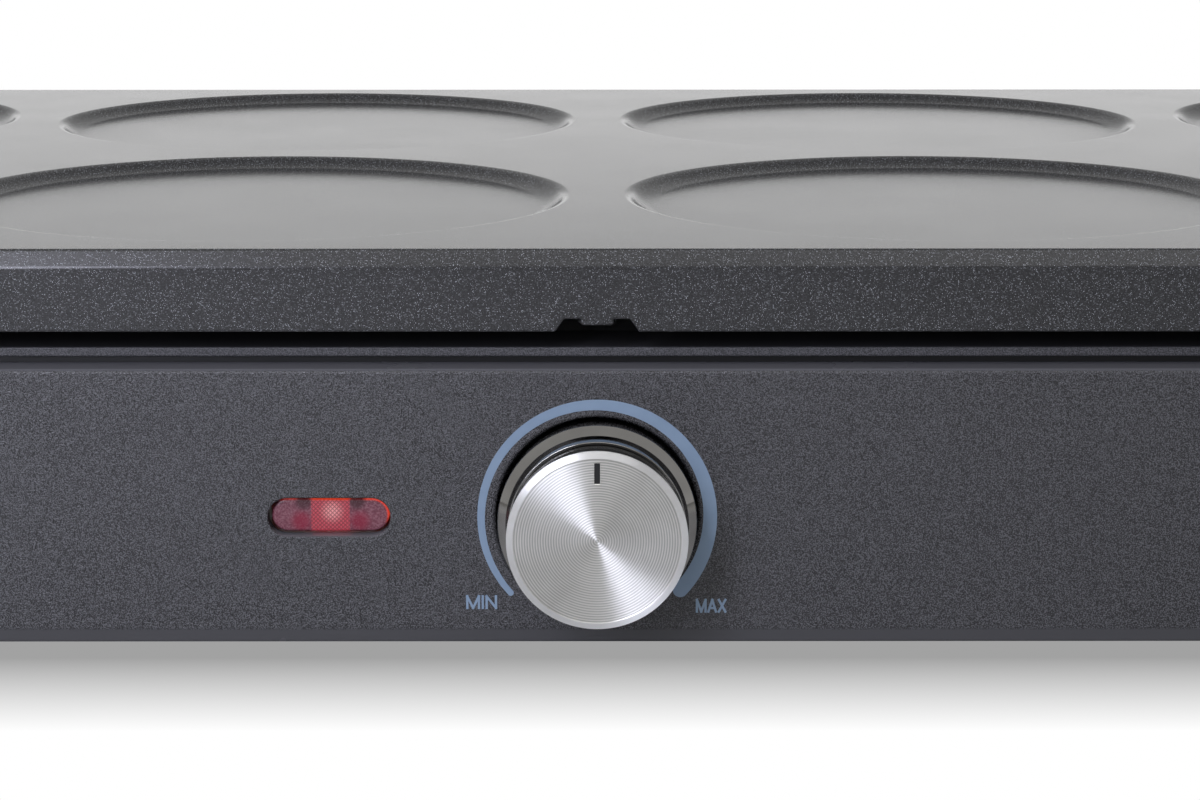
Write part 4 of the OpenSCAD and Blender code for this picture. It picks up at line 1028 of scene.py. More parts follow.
    def _notch(self, shell: Shell, window: np.ndarray, profile: np.ndarray, first: int, last: int) -> None:
        """The skirt round the notch and its tab: the rim's profile carried along their outline.

        The tab's outline points move apart with the root of their distance behind the skirt's face.

        Args:
            shell: Gathers the surfaces.
            window: Points of the skirt's front window [place, profile].
            profile: The skirt's profile.
            first: Profile row where the window starts on the outer face.
            last: Profile row where it ends on the inner face.
        """
        bottom = self.box.lo[2]
        roof, hook = bottom + self.notch_h, bottom + self.notch_h - self.tab_h
        half, slope, tab = self.notch_w / 2, self.notch_w / 2 - self.notch_run, self.tab_w / 2
        right = [(tab, hook, self.notch_r), (tab, roof, self.tab_root_r), (slope, roof, self.notch_r),
                 (half, bottom, self.notch_r), (self.notch_window, bottom)]
        line = filleted([(-corner[0], *corner[1:]) for corner in right[::-1]] + right)
        ahead = np.gradient(line, axis=0)
        up = np.stack([-ahead[:, 1], ahead[:, 0]], axis=1) / np.linalg.norm(ahead, axis=1, keepdims=True)
        rows = profile[first + 1:last]
        flat = line[:, None] + up[:, None] * (rows[None, :, 1:] - bottom)
        on_tab = np.clip((slope - np.abs(line[:, :1])) / (slope - tab - self.tab_blend), 0, 1)
        behind = np.sqrt(np.maximum(self.edge_r - rows[None, :, 0], 0.0) / self.skirt_t)
        flat[:, :, 0] *= 1 + (self.tab_root_w / self.tab_w - 1) * on_tab * behind
        flat[:, :, 0] += self.box.middle[0]
        y_flat = self.box.lo[1] + self.edge_r
        shell.grid(lift(flat, y_flat - rows[None, :, 0], Axis.Y))
        for row, lip in ((first, 0), (last, -1)):
            top = window[::-1, row][:, [0, 2]]
            shell.flat([np.concatenate([flat[:, lip], top])], y_flat - profile[row, 0], Axis.Y)

    def _underside(self, shell: Shell) -> None:
        """Ribs that straddle the heater's legs, and bosses with sockets for the rests' pins."""
        under = self.box.hi[2] - self.deck_t
        x = self.box.middle[0]
        tube_r = self.heater_d / 2
        legs = np.linspace(self.heater.lo[1] + tube_r, self.heater.hi[1] - tube_r, self.heater_legs)
        reach = self.heater.hi[0] - tube_r - (legs[1] - legs[0]) / 2 - self.rib_inset
        for middle in (legs[:, None] + np.array([-self.rib_offset, self.rib_offset])).ravel():
            left, right = middle - self.rib_t / 2, middle + self.rib_t / 2
            outline = filleted([(left, under + SUPPORT), (left, under - self.rib_h, self.rib_r),
                                (right, under - self.rib_h, self.rib_r), (right, under + SUPPORT)],
                               closed=True)
            shell.prism(outline, x - reach, x + reach, Axis.X, bevel=self.rib_bevel)
        foot = under - self.boss_h
        profile = filleted([(0, under + SUPPORT), (self.boss_r, under + SUPPORT),
                            (self.boss_r, foot, self.boss_edge_r), (self.socket_r, foot, self.socket_edge_r),
                            (self.socket_r, foot + self.socket_depth), (0, foot + self.socket_depth)])
        ends = np.array([self.rests.lo + self.rest_d / 2, self.rests.hi - self.rest_d / 2])
        for place_x in ends[:, 0]:
            for place_y in ends[:, 1]:
                shell.revolve(profile, (place_x, place_y), Axis.Z, self.boss_steps)


@dataclass
class TopFrame:
    """Flanged ring under the plate: a thin outer edge, a flat deck and a rebate for the reflector."""

    corner_r: float = 36.0
    flange_t: float = 1.7
    deck_w: float = 16.0
    rebate_w: float = 9.0
    rebate_depth: float = 1.0
    rebate_floor: float = 3.0
    ledge: float = 2.0
    spigot_in: float = 2.55
    spigot_t: float = 2.2
    spigot_h: float = 7.0
    edge_r: float = 0.3
    box: Box = field(default_factory=lambda: Box.of("top_frame"))

    def build(self) -> None:
        """Carries the ring's closed profile along the frame's outline."""
        deck = self.box.hi[2]
        flange, rebate = deck - self.flange_t, deck - self.rebate_depth
        rim, ring_w = rebate - self.rebate_floor, self.deck_w + self.rebate_w
        spigot, inner = -self.spigot_in, -self.spigot_in - self.spigot_t
        e = self.edge_r
        profile = filleted([
            (0, flange, e), (0, deck, e), (-self.deck_w, deck, e), (-self.deck_w, rebate, e / 3),
            (-ring_w, rebate, e), (-ring_w, rim, e), (self.ledge - self.deck_w, rim, e),
            (self.ledge - self.deck_w, flange, e), (inner, flange, e), (inner, flange - self.spigot_h, e),
            (spigot, flange - self.spigot_h, e), (spigot, flange, e)], steps=4, closed=True)
        path, out = rounded_loop(self.box.size[0], self.box.size[1], self.corner_r)
        shell = Shell()
        shell.grid(carry(self.box.middle[:2] + path, out, profile), close_u=True, close_v=True)
        shell.build("moulded_top_frame", FRAME_NYLON, Body.BASE, "frame_plastic", ["top_frame"])


@dataclass
class BaseHousing:
    """Moulded tray: a rounded lip and heel, the dial's well, the pilot's slot, vents and screw holes."""

    corner_r: float = 41.0
    wall_t: float = 2.6
    floor_t: float = 2.6
    lip_w: float = 7.25
    lip_t: float = 2.2
    lip_edge_r: float = 0.8
    lip_inner_r: float = 0.3
    heel_r: float = 0.5
    joint_run: float = 1.0
    well_d: float = 34.8
    well_depth: float = 6.0
    well_edge_r: float = 0.8
    well_floor_r: float = 0.6
    well_wall: float = 1.6
    well_floor: float = 2.2
    slot_l: float = 21.0
    slot_h: float = 6.6
    slot_edge_r: float = 0.35
    lens_offset: float = 46.0
    gland_hole_d: float = 12.4
    gland_offset: float = 150.0
    gland_steps: int = 64
    vent_l: float = 46.0
    vent_w: float = 3.0
    vent_pitch: float = 7.5
    vent_count: int = 9
    vent_steps: int = 8
    screw_hole_d: float = 6.8
    screw_hole_depth: float = 6.0
    screw_inset: float = 13.0
    screw_end: float = 38.0
    screw_x: float = 100.0
    screw_steps: int = 32
    round_steps: int = 128
    box: Box = field(default_factory=lambda: Box.of("base_housing"))
    dial: np.ndarray = field(default_factory=dial_centre)

    def build(self) -> None:
        """Makes the tray as one closed shell."""
        shell = Shell()
        low, high = self.box.lo[2], self.box.hi[2]
        floor, under_lip = low + self.floor_t, high - self.lip_t
        joint = max(self.wall_t, self.heel_r) + self.joint_run
        profile = filleted([(-joint, low), (0, low, self.heel_r), (0, high, self.lip_edge_r),
                            (-self.lip_w, high, self.lip_inner_r), (-self.lip_w, under_lip, self.lip_inner_r),
                            (-self.wall_t, under_lip), (-self.wall_t, floor), (-joint, floor)], steps=10)
        path, out = rounded_loop(self.box.size[0], self.box.size[1], self.corner_r)
        points = carry(self.box.middle[:2] + path, out, profile)
        face = int(np.flatnonzero(np.isclose(profile[:, 1], low + self.heel_r + SUPPORT))[0])
        inside = len(profile) - 3
        front, back = len(path) - 1, len(path) // 2 - 1
        keep = np.ones((len(path), len(profile) - 1), bool)
        keep[np.ix_([front, back], [face, inside])] = False
        shell.grid(points, close_u=True, keep=keep)
        spans = [(points[i, row], points[(i + 1) % len(path), row + 1])
                 for i in (front, back) for row in (face, inside)]
        walls = [np.array([[a[0], a[2]], [b[0], a[2]], [b[0], b[2]], [a[0], b[2]]]) for a, b in spans]
        self._front(shell, walls[0], walls[1])
        self._back(shell, walls[2], walls[3])
        self._floor(shell, points[:, 0, :2], points[:, -1, :2])
        shell.build("moulded_base_housing", HOUSING_ABS, Body.BASE, "housing_plastic", ["base_housing"])

    def _front(self, shell: Shell, outer: np.ndarray, inner: np.ndarray) -> None:
        """The front wall with the dial's well, a cup with a rounded mouth, and the pilot's slot."""
        y = self.box.lo[1]
        centre = self.dial[[0, 2]]
        well_r = self.well_d / 2
        cup = filleted([(well_r + RUN_IN, 0), (well_r, 0, self.well_edge_r),
                        (well_r, self.well_depth, self.well_floor_r), (0, self.well_depth)], steps=8)[1:]
        back_r = well_r + self.well_wall
        back = np.array([(back_r, self.wall_t), (back_r, self.well_depth + self.well_floor),
                         (0, self.well_depth + self.well_floor)])
        pilot = centre - np.array([self.lens_offset, 0.0])
        lip = filleted([(RUN_IN, 0), (0, 0, self.slot_edge_r), (0, self.wall_t)])[1:]
        slot = np.stack([stadium(self.slot_l + 2 * d, self.slot_h + 2 * d) + pilot for d in lip[:, 0]])
        shell.flat([outer, ring(cup[0, 0], self.round_steps, centre), slot[0]], y, Axis.Y)
        shell.flat([inner, ring(back_r, self.round_steps, centre), slot[-1]], y + self.wall_t, Axis.Y)
        for profile in (cup, back):
            shell.revolve(profile + np.array([0.0, y]), centre, Axis.Y, self.round_steps)
        shell.grid(lift(slot, y + lip[:, 1:], Axis.Y), close_v=True)

    def _back(self, shell: Shell, outer: np.ndarray, inner: np.ndarray) -> None:
        """The back wall with the cord gland's hole."""
        y = self.box.hi[1]
        place = (self.box.middle[0] - self.gland_offset, self.dial[2])
        hole = ring(self.gland_hole_d / 2, self.gland_steps, place)
        shell.flat([outer, hole], y, Axis.Y)
        shell.flat([inner, hole], y - self.wall_t, Axis.Y)
        shell.wall(hole, y, y - self.wall_t, Axis.Y)

    def _floor(self, shell: Shell, outer: np.ndarray, inner: np.ndarray) -> None:
        """The floor with its vent slots and the sunk holes for the screws."""
        low = self.box.lo[2]
        middle = self.box.middle[:2]
        places = [(sx * self.box.size[0] / 4, (i - (self.vent_count - 1) / 2) * self.vent_pitch)
                  for sx in (-1, 1) for i in range(self.vent_count)]
        vents = [stadium(self.vent_l, self.vent_w, self.vent_steps) + middle + np.array(place)
                 for place in places]
        depth = self.box.size[1] / 2 - self.screw_inset
        far = self.box.size[0] / 2 - self.screw_end
        screws = [middle + np.array([x, y])
                  for x in (-far, -self.screw_x, self.screw_x, far) for y in (-depth, depth)]
        hole_r, hole_top = self.screw_hole_d / 2, low + self.screw_hole_depth
        holes = [ring(hole_r, self.screw_steps, place) for place in screws]
        shell.flat([outer, *vents, *holes], low, Axis.Z)
        shell.flat([inner, *vents], low + self.floor_t, Axis.Z)
        for vent in vents:
            shell.wall(vent, low, low + self.floor_t, Axis.Z)
        cup = np.array([(hole_r, low), (hole_r, hole_top), (0, hole_top)])
        for place in screws:
            shell.revolve(cup, place, Axis.Z, self.screw_steps)


@dataclass
class ControlKnob:
    """Plated knob: a flange with a bevelled edge, a tapered collar, a groove, a barrel and a turned cap.

    Places along the axis are measured outwards from the panel's face. Those of the pointer's rim
    (outer edge, crest, inner edge and foot) and of its paint are measured back from the cap's face.
    """

    flange_r: float = 17.0
    flange_back: float = 2.5
    flange_back_r: float = 0.4
    flange_h: float = 4.3
    flange_edge_r: float = 0.25
    collar_r: float = 15.5
    collar_foot_r: float = 0.3
    collar_taper: float = 0.4
    collar_h: float = 3.0
    collar_edge_r: float = 0.15
    groove_depth: float = 0.5
    groove_w: float = 0.4
    groove_foot_r: float = 0.05
    barrel_r: float = 14.6
    barrel_lap: float = 0.1
    barrel_edge_r: float = 0.12
    cap_r: float = 15.2
    cap_edges_r: tuple[float, float, float] = (0.15, 0.12, 0.1)
    cap_t: float = 1.2
    cap_edge: float = 0.45
    cap_bevel: float = 1.1
    cap_sunk: float = 0.15
    reach: float = 17.2
    turning_pitch: float = 0.44
    turning_depth: float = 0.015
    turning_samples: int = 8
    pointer_w: float = 0.96
    pointer_l: float = 3.5
    pointer_from: float = 9.8
    pointer_r: float = 0.1
    pointer_rim: float = 0.16
    rim_levels: tuple[float, float, float] = (0.05, -0.03, 0.03)
    rim_foot: float = 0.06
    paint_levels: tuple[float, float] = (0.09, -0.006)
    steps: int = 192
    dial: np.ndarray = field(default_factory=dial_centre)

    def build(self) -> None:
        """Makes the body, the cap and the pointer."""
        self._body()
        self._cap()
        self._pointer()

    def _turned(self, shell: Shell, profile: np.ndarray) -> None:
        """Turns a profile of radius and distance from the panel about the knob's axis."""
        along = profile * np.array([1.0, -1.0]) + np.array([0.0, self.dial[1]])
        shell.revolve(along, self.dial[[0, 2]], Axis.Y, self.steps)

    def _body(self) -> None:
        """The plated body with its flange in the well, and the barrel up to the cap's seat, painted black as a
        dark reflection.
        """
        bevel = self.flange_r - self.collar_r
        collar = self.flange_h + bevel + self.collar_h
        front = self.reach - self.cap_t
        groove_r, groove = self.barrel_r - self.groove_depth, collar + self.groove_w
        shell = Shell()
        self._turned(shell, filleted([
            (0, -self.flange_back), (self.flange_r, -self.flange_back, self.flange_back_r),
            (self.flange_r, self.flange_h, self.flange_edge_r),
            (self.collar_r, self.flange_h + bevel, self.collar_foot_r),
            (self.collar_r - self.collar_taper, collar, self.collar_edge_r),
            (groove_r, collar, self.groove_foot_r), (groove_r, groove + self.barrel_lap),
            (0, groove + self.barrel_lap)]))
        shell.build("plated_knob_body", KNOB_CHROME, Body.KNOB, "knob_chrome", ["knob_body"])
        barrel = Shell()
        self._turned(barrel, filleted([(0, groove), (self.barrel_r, groove, self.barrel_edge_r),
                                       (self.barrel_r, front), (0, front)]))
        barrel.build("knob_barrel_painted_dark", BARREL_PAINTED_DARK, Body.KNOB, "knob_chrome")

    def _cap(self) -> None:
        """The cap: a bright bevel round a face cut in rings, a cosine of the radius."""
        back, rim = self.reach - self.cap_t, self.cap_r - self.cap_bevel
        face = self.reach - self.cap_sunk
        back_r, edge_r, rim_r = self.cap_edges_r
        edge = filleted([(0, back), (self.cap_r, back, back_r),
                         (self.cap_r, self.reach - self.cap_edge, edge_r),
                         (rim, self.reach, rim_r), (rim - self.cap_sunk, face)])
        count = int((rim - self.cap_sunk) / self.turning_pitch) * self.turning_samples
        radius = np.linspace(rim - self.cap_sunk, 0.0, count + 1)[1:]
        cut = (np.cos(2 * np.pi * radius / self.turning_pitch) - 1) / 2 * self.turning_depth
        shell = Shell()
        self._turned(shell, np.concatenate([edge, np.stack([radius, face + cut], axis=1)]))
        centre = tuple(float(value) for value in self.dial)
        # Faced aluminium: pale, with rings that draw the lights out into wedges, and painted shade in the cuts
        finish = TurnedAluminium("cap_turned_aluminium", "#faf9f6", "#f4f3f0", metallic=1.0,
                                 roughness=(0.4, 0.43), drift_mm=5.0, grain_depth_mm=0.0, centre_mm=centre,
                                 pitch_mm=self.turning_pitch, rim_mm=rim)
        shell.build("turned_knob_cap", finish, Body.KNOB, "spun_aluminium", ["knob_cap"])

    def _pointer(self) -> None:
        """The pointer: a slot with a bright bevelled rim, and the paint in it."""
        x, z = self.dial[0], self.dial[2] + self.pointer_from + self.pointer_l / 2
        face = self.dial[1] - self.reach + self.cap_sunk
        levels, foot = [face + level for level in self.rim_levels], face + self.rim_foot
        signs = ((-1, -1), (1, -1), (1, 1), (-1, 1))
        outlines = [filleted([(x + sx * (self.pointer_w / 2 + d), z + sz * (self.pointer_l / 2 + d),
                               self.pointer_r + d) for sx, sz in signs], steps=4, closed=True)
                    for d in (self.pointer_rim, self.pointer_rim / 2, 0.0)]
        outer, inner = outlines[0], outlines[-1]
        rim = Shell()
        rim.grid(np.stack([lift(line, level, Axis.Y) for line, level in zip(outlines, levels)]), close_v=True)
        rim.grid(np.stack([lift(line, foot, Axis.Y) for line in (outer, inner)]), close_v=True)
        rim.wall(outer, levels[0], foot, Axis.Y)
        rim.wall(inner, levels[-1], foot, Axis.Y)
        rim.build("pointer_slot_rim", CUT_EDGE, Body.KNOB, "spun_aluminium")
        paint = Shell()
        paint.prism(inner, face + self.paint_levels[0], face + self.paint_levels[1], Axis.Y)
        paint.build("pointer_paint", POINTER_PAINT, Body.KNOB, "pointer_black", ["knob_pointer"])


@dataclass
class HeatScale:
    """Printed heat scale: a band that widens clockwise round the dial, and the words at its ends."""

    outer_r: float = 20.58
    width: tuple[float, float] = (1.05, 2.62)
    sweep: float = 132.0
    band_points: int = 97
    end_points: int = 13
    ink_t: float = 0.03
    letter_h: float = 2.48
    stroke: float = 0.4
    stroke_step: float = 0.001
    min_stretch: float = 1.34
    min_gap: float = 0.27
    max_gap: float = 0.1
    min_place: tuple[float, float] = (-19.95, -15.06)
    max_place: tuple[float, float] = (19.65, -15.73)
    dial: np.ndarray = field(default_factory=dial_centre)

    # Width and strokes of each letter, in shares of the letter's height
    LETTERS = {
        "M": (0.72, [[(0, 0), (0, 1), (0.36, 0), (0.72, 1), (0.72, 0)]]),
        "I": (0.0, [[(0, 0), (0, 1)]]),
        "N": (0.575, [[(0, 0), (0, 1), (0.575, 0), (0.575, 1)]]),
        "A": (0.62, [[(0, 0), (0.31, 1), (0.62, 0)], [(0.1, 0.3), (0.52, 0.3)]]),
        "X": (0.54, [[(0, 0), (0.54, 1)], [(0, 1), (0.54, 0)]]),
    }

    def build(self) -> None:
        """Prints the band and the two words."""
        band = Shell()
        self._print(band, self._band())
        band.build("heat_scale_band", SCALE_INK, Body.BASE, "housing_plastic")
        words = Shell()
        self._word(words, "MIN", self.min_place, self.min_gap, self.min_stretch)
        self._word(words, "MAX", self.max_place, self.max_gap)
        words.build("heat_scale_words", SCALE_INK, Body.BASE, "housing_plastic")

    def _print(self, shell: Shell, outline: np.ndarray, raised: float = 0.0) -> None:
        """Lays ink of the outline's shape on the panel."""
        face = self.dial[1]
        shell.prism(outline + self.dial[[0, 2]], face - self.ink_t - raised, face + self.ink_t, Axis.Y)

    def _band(self) -> np.ndarray:
        """Outline of the band: two arcs whose distance grows evenly, and a half circle at each end."""
        turn = np.radians(np.linspace(self.sweep, -self.sweep, self.band_points))
        wide = np.linspace(*self.width, self.band_points)[:, None]
        way = np.stack([-np.sin(turn), np.cos(turn)], axis=1)
        ends = []
        for place, sign in ((0, -1), (-1, 1)):
            middle = way[place] * (self.outer_r - wide[place] / 2)
            spin = np.linspace(0, np.pi, self.end_points)[1:-1, None]
            along = np.array([way[place, 1], -way[place, 0]]) * sign
            ends.append(middle + wide[place] / 2 * (np.cos(spin) * way[place] * sign + np.sin(spin) * along))
        inner = way * (self.outer_r - wide)
        return np.concatenate([way * self.outer_r, ends[1], inner[::-1], ends[0]])[::-1]

    def _word(self, shell: Shell, word: str, place: tuple[float, float], gap: float,
              stretch: float = 1.0) -> None:
        """Prints one word with its middle at a place from the dial's middle.

        Args:
            shell: Gathers the strokes.
            word: Its letters.
            place: Middle of the word.
            gap: Space between two letters.
            stretch: How much wider than usual its letters are.
        """
        tall = self.letter_h - self.stroke
        scale = np.array([tall * stretch, tall])
        step = self.stroke + gap
        total = sum(self.LETTERS[letter][0] for letter in word) * scale[0] + step * (len(word) - 1)
        corner = np.array([place[0] - total / 2, place[1] - tall / 2])
        for letter in word:
            width, lines = self.LETTERS[letter]
            pairs = [pair for line in lines for pair in zip(line, line[1:])]
            for k, pair in enumerate(pairs):
                # Each stroke lies a hair above the one before, so that no two share a face
                outline = self._stroke_outline(np.array(pair) * scale + corner)
                self._print(shell, outline, k * self.stroke_step)
            corner = corner + np.array([width * scale[0] + step, 0.0])

    def _stroke_outline(self, ends: np.ndarray) -> np.ndarray:
        """Corners of a straight stroke, which runs half its width past each end."""
        along = (ends[1] - ends[0]) / np.linalg.norm(ends[1] - ends[0]) * self.stroke / 2
        side = np.array([-along[1], along[0]])
        return np.stack([ends[0] - along - side, ends[1] + along - side,
                         ends[1] + along + side, ends[0] - along + side])


@dataclass
class PilotLight:
    """Red lens with round ends, sunk in its slot, with a bevelled and slightly crowned face."""

    length: float = 20.2
    height: float = 5.8
    sink: float = 1.3
    bevel: float = 0.45
    bevel_points: int = 7
    face_points: int = 9
    crown: float = 0.12
    slot_play: float = 0.15
    box: Box = field(default_factory=lambda: Box.of("indicator_lens"))
    dial: np.ndarray = field(default_factory=dial_centre)

    def build(self) -> None:
        """Makes the lens: rings of its outline, narrowing from the rim to its middle line.

        The rim bends over in a quarter circle, and the face then rises as 1 - (1 - t) squared.
        """
        place = self.box.middle[[0, 2]] + np.array([self.slot_play, self.slot_play])
        face, back = self.dial[1] + self.sink, self.box.hi[1]
        turn = np.radians(np.linspace(0, 90, self.bevel_points))
        t = np.linspace(0, 1, self.face_points)[1:]
        inset = np.concatenate([[0.0], self.bevel * (1 - np.cos(turn)),
                                self.bevel + t * (self.height / 2 - self.bevel)])
        depth = np.concatenate([[back], face + self.bevel * (1 - np.sin(turn)),
                                face - self.crown * (1 - (1 - t) ** 2)])
        rings = np.stack([stadium(self.length - 2 * d, self.height - 2 * d) + place for d in inset])
        shell = Shell()
        shell.grid(lift(rings, depth[:, None], Axis.Y), close_v=True)
        shell.flat([rings[0]], back, Axis.Y)
        centre = (float(place[0]), float(face), float(place[1]))
        # Red polycarbonate, frosted inside: dusty at the ends, lit in the middle
        finish = PilotLens("lens_red_polycarbonate", "#6c2c3e", "#96646f", roughness=(0.2, 0.32),
                           grain_depth_mm=0.0, ior=1.58, centre_mm=centre, size_mm=(self.length, self.height))
        shell.build("pilot_lens", finish, Body.BASE, "lens_red", ["indicator_lens"])


@dataclass
class Heater:
    """Tubular heater: straight legs along X joined by half rings, its two ends turned down."""

    legs: int = 4
    tube_d: float = 6.6
    elbow_r: float = 12.0
    elbow_run: float = 6.0
    elbow_steps: int = 12
    bend_steps: int = 32
    sides: int = 20
    box: Box = field(default_factory=lambda: Box.of("heating_element"))

    def build(self) -> None:
        """Carries a circle along the heater's middle line."""
        radius = self.tube_d / 2
        pitch = (self.box.size[1] - self.tube_d) / (self.legs - 1)
        bend = pitch / 2
        high = self.box.hi[2] - radius
        pin = self.box.lo[0] + radius
        end = self.box.hi[0] - radius - bend
        start = pin + self.elbow_r + self.elbow_run
        y = [self.box.lo[1] + radius + leg * pitch for leg in range(self.legs)]
        elbow = arc((pin + self.elbow_r, high - self.elbow_r), self.elbow_r, 180, 90,
                    self.elbow_steps)
        elbow = np.concatenate([[(pin, self.box.lo[2])], elbow])
        path = [lift(elbow, y[0], Axis.Y)]
        for leg in range(self.legs - 1):
            right = leg % 2 == 0
            turn = arc((end if right else start, y[leg] + bend), bend, -90 if right else 270, 90,
                       self.bend_steps)
            path.append(lift(turn, high, Axis.Z))
        path.append(lift(elbow[::-1], y[-1], Axis.Y))
        shell = Shell()
        shell.tube(np.concatenate(path), radius, self.sides)
        shell.build("heater_tube", HEATER_SHEATH, Body.BASE, "heater_sheath", ["heating_element"])


class Fittings:
    """Solids that keep their meshes: screws, rests, feet, handles and everything inside."""

    def build(self) -> None:
        """Gives each solid that still shows the finish of its slot."""
        for part in frame["record"]["subparts"]:
            solid = frame["nodes"][part["node"]]
            if solid.hide_render:
                continue
            solid.material_slots[0].material = SLOT_FINISHES[part["material_slot"]].material()
            log.info("%s: %s", part["node"], solid.material_slots[0].material.name)


@dataclass(frozen=True)
class Softbox:
    """A rectangular light that stands at place and faces target, both in millimetres."""

    name: str
    place: tuple[float, float, float]
    target: tuple[float, float, float]
    size: tuple[float, float]
    power: float
    colour: str = "#ffffff"
    mirrored: bool = True

    def build(self) -> None:
        """Adds the light, hidden from the camera."""
        data = bpy.data.lights.new(self.name, "AREA")
        data.color = linear(self.colour)[:3]
        data.shape, data.energy = "RECTANGLE", self.power
        data.size, data.size_y = self.size[0] * MM, self.size[1] * MM
        light = bpy.data.objects.new(self.name, data)
        light.location = Vector(self.place) * MM
        look = Vector(self.target) - Vector(self.place)
        light.rotation_euler = look.to_track_quat("-Z", "Y").to_euler()
        light.visible_camera, light.visible_glossy = False, self.mirrored
        bpy.context.scene.collection.objects.link(light)


# Large box above and behind, which lights the back and the ends
OVERHEAD = Softbox("overhead_box", (0.0, 900.0, 950.0), (0.0, 80.0, 0.0), (1700.0, 700.0), 5.0,
                   mirrored=False)
# Narrow cool box in front to the left, which draws the bright line along the plate's edge
STRIP = Softbox("left_strip", (-245.0, -611.0, 308.0), (0.0, -130.0, 45.0), (131.0, 454.0), 2.0, "#eaecff")
# Wide soft box high above the camera, which lights the bevel and the lip
FILL = Softbox("front_fill", (-78.0, -776.0, 1171.0), (0.0, -130.0, 45.0), (1600.0, 360.0), 3.2)


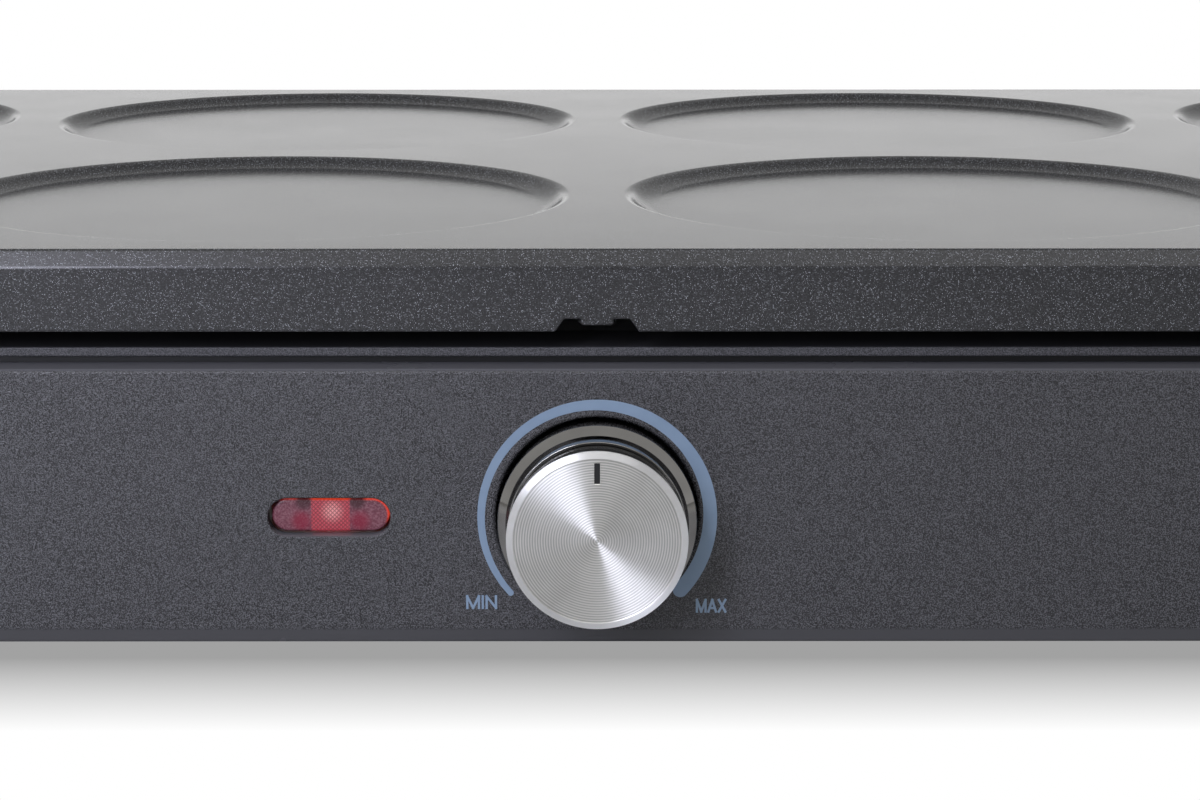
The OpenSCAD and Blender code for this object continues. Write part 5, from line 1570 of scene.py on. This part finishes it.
@dataclass
class Studio:
    """White room: pale floor, soft lights, and the camera that the photograph was taken with.

    The reaches of the floor's painted shadow and of its glow are distances from the base's outline,
    below zero inside it. Mirrors see a bright wall over the span wall_ahead of their direction's Y, up
    to wall_top of its Z.
    """

    lens_mm: float = 93.18
    sensor_mm: float = 36.0
    clip_m: tuple[float, float] = (0.01, 30.0)
    camera_x: float = 0.1
    camera_ahead: float = 518.1
    camera_z: float = 152.5
    tilt: float = 11.54
    yaw: float = -0.047
    roll: float = 0.02
    floor_half: float = 4000.0
    paper: str = "#e6e6e4"
    white: str = "#ffffff"
    painted_shadow_level: float = 0.36
    painted_shadow_reach: tuple[float, float] = (-4.0, 38.0)
    glow_level: float = 0.7
    glow_reach: tuple[float, float] = (-30.0, -12.0)
    ambient: float = 0.2
    room: float = 0.45
    backdrop: float = 1.4
    wall_ahead: tuple[float, float] = (-0.1, 0.4)
    wall_top: tuple[float, float] = (0.104, 0.185)
    mirror_depth: float = 2.5
    lights: tuple[Softbox, ...] = (OVERHEAD, STRIP, FILL)
    box: Box = field(default_factory=lambda: Box.of("base_housing"))

    def build(self) -> None:
        """Sets up the view, the floor, the surroundings and the lights."""
        scene = bpy.context.scene
        scene.view_settings.view_transform = "Standard"
        self._camera(scene)
        self._floor(scene)
        self._world(scene)
        for light in self.lights:
            light.build()

    def _camera(self, scene: bpy.types.Scene) -> None:
        """A long lens a little above the plate, looking down at the panel."""
        data = bpy.data.cameras.new("photo_camera")
        data.lens, data.sensor_width = self.lens_mm, self.sensor_mm
        data.clip_start, data.clip_end = self.clip_m
        camera = bpy.data.objects.new("photo_camera", data)
        camera.location = Vector((self.camera_x, self.box.lo[1] - self.camera_ahead, self.camera_z)) * MM
        camera.rotation_euler = [math.radians(turn) for turn in (90 - self.tilt, self.roll, self.yaw)]
        scene.collection.objects.link(camera)
        scene.camera = camera

    def _floor(self, scene: bpy.types.Scene) -> None:
        """A pale floor: the eye sees a painted soft shadow at the base that fades to white away from it."""
        half = self.floor_half * MM
        mesh = bpy.data.meshes.new("studio_floor")
        corners = [(-half, -half, 0), (half, -half, 0), (half, half, 0), (-half, half, 0)]
        mesh.from_pydata(corners, [], [(0, 1, 2, 3)])
        floor = bpy.data.objects.new("studio_floor", mesh)
        scene.collection.objects.link(floor)
        made = bpy.data.materials.new("floor_white_paper")
        made.use_nodes = True
        tree = made.node_tree
        tree.nodes.clear()
        away = self._from_base(tree)
        # Painted shadow: the eye sees the floor's emission, dim at the base and white away from it
        fade = remap(tree, away, metres(self.painted_shadow_reach), (self.painted_shadow_level, 1.0))
        painted_floor_shadow = add(tree, "ShaderNodeEmission", {"Color": linear(self.white), "Strength": fade})
        # Weak light from the paper below the base, without which the underside is black
        below = remap(tree, away, metres(self.glow_reach), (self.glow_level, 0.0))
        glow = add(tree, "ShaderNodeEmission", {"Color": linear(self.white), "Strength": below})
        paper = add(tree, "ShaderNodeBsdfDiffuse", {"Color": linear(self.paper)})
        lit = add(tree, "ShaderNodeAddShader", {0: paper, 1: glow})
        eye = add(tree, "ShaderNodeLightPath").outputs["Is Camera Ray"]
        look = add(tree, "ShaderNodeMixShader", {0: eye, 1: lit, 2: painted_floor_shadow})
        # Clear from below, so that the part can be looked at from there
        under = add(tree, "ShaderNodeNewGeometry").outputs["Backfacing"]
        clear = add(tree, "ShaderNodeBsdfTransparent")
        shown = add(tree, "ShaderNodeMixShader", {0: under, 1: look, 2: clear})
        add(tree, "ShaderNodeOutputMaterial", {"Surface": shown})
        mesh.materials.append(made)

    def _from_base(self, tree: NodeTree) -> Node:
        """Distance of a floor point from the base's outline, below zero inside it."""
        middle, half_size = metres(self.box.middle), metres(self.box.size / 2)
        off = vector(tree, "SUBTRACT", object_place(tree), (*middle[:2], 0.0))
        past = vector(tree, "SUBTRACT", vector(tree, "ABSOLUTE", off), (*half_size[:2], 0.0))
        beyond = vector(tree, "LENGTH", vector(tree, "MAXIMUM", past, (0.0, 0.0, 0.0)))
        axes = add(tree, "ShaderNodeSeparateXYZ", {"Vector": past})
        deepest = maths(tree, "MAXIMUM", axes.outputs["X"], axes.outputs["Y"])
        return maths(tree, "ADD", beyond, maths(tree, "MINIMUM", deepest, 0.0))

    def _world(self, scene: bpy.types.Scene) -> None:
        """White surroundings for the eye; mirrors see white behind the part and a dimmer room elsewhere."""
        world = bpy.data.worlds.new("white_room")
        world.use_nodes = True
        tree = world.node_tree
        tree.nodes.clear()
        way = add(tree, "ShaderNodeSeparateXYZ", {0: add(tree, "ShaderNodeTexCoord").outputs["Generated"]})
        behind = remap(tree, way.outputs["Y"], self.wall_ahead, smooth=True)
        low = remap(tree, way.outputs["Z"], self.wall_top, (1.0, 0.0), smooth=True)
        wall = maths(tree, "MULTIPLY", behind, low)
        mirrored = remap(tree, wall, (0.0, 1.0), (self.room, self.backdrop))
        ray = add(tree, "ShaderNodeLightPath").outputs
        again = maths(tree, "GREATER_THAN", ray["Ray Depth"], self.mirror_depth)
        shiny = blend(tree, again, mirrored, self.ambient, data_type="FLOAT")
        soft = blend(tree, ray["Is Glossy Ray"], self.ambient, shiny, data_type="FLOAT")
        level = blend(tree, ray["Is Camera Ray"], soft, 1.0, data_type="FLOAT")
        back = add(tree, "ShaderNodeBackground", {"Color": linear(self.white), "Strength": level})
        add(tree, "ShaderNodeOutputWorld", {"Surface": back})
        scene.world = world


def main() -> None:
    """Builds the room and the part, piece by piece."""
    logging.basicConfig(level=logging.INFO, format="%(name)s: %(message)s")
    Studio().build()
    GriddlePlate().build()
    TopFrame().build()
    BaseHousing().build()
    ControlKnob().build()
    HeatScale().build()
    PilotLight().build()
    Heater().build()
    Fittings().build()


if __name__ == "__main__":
    main()
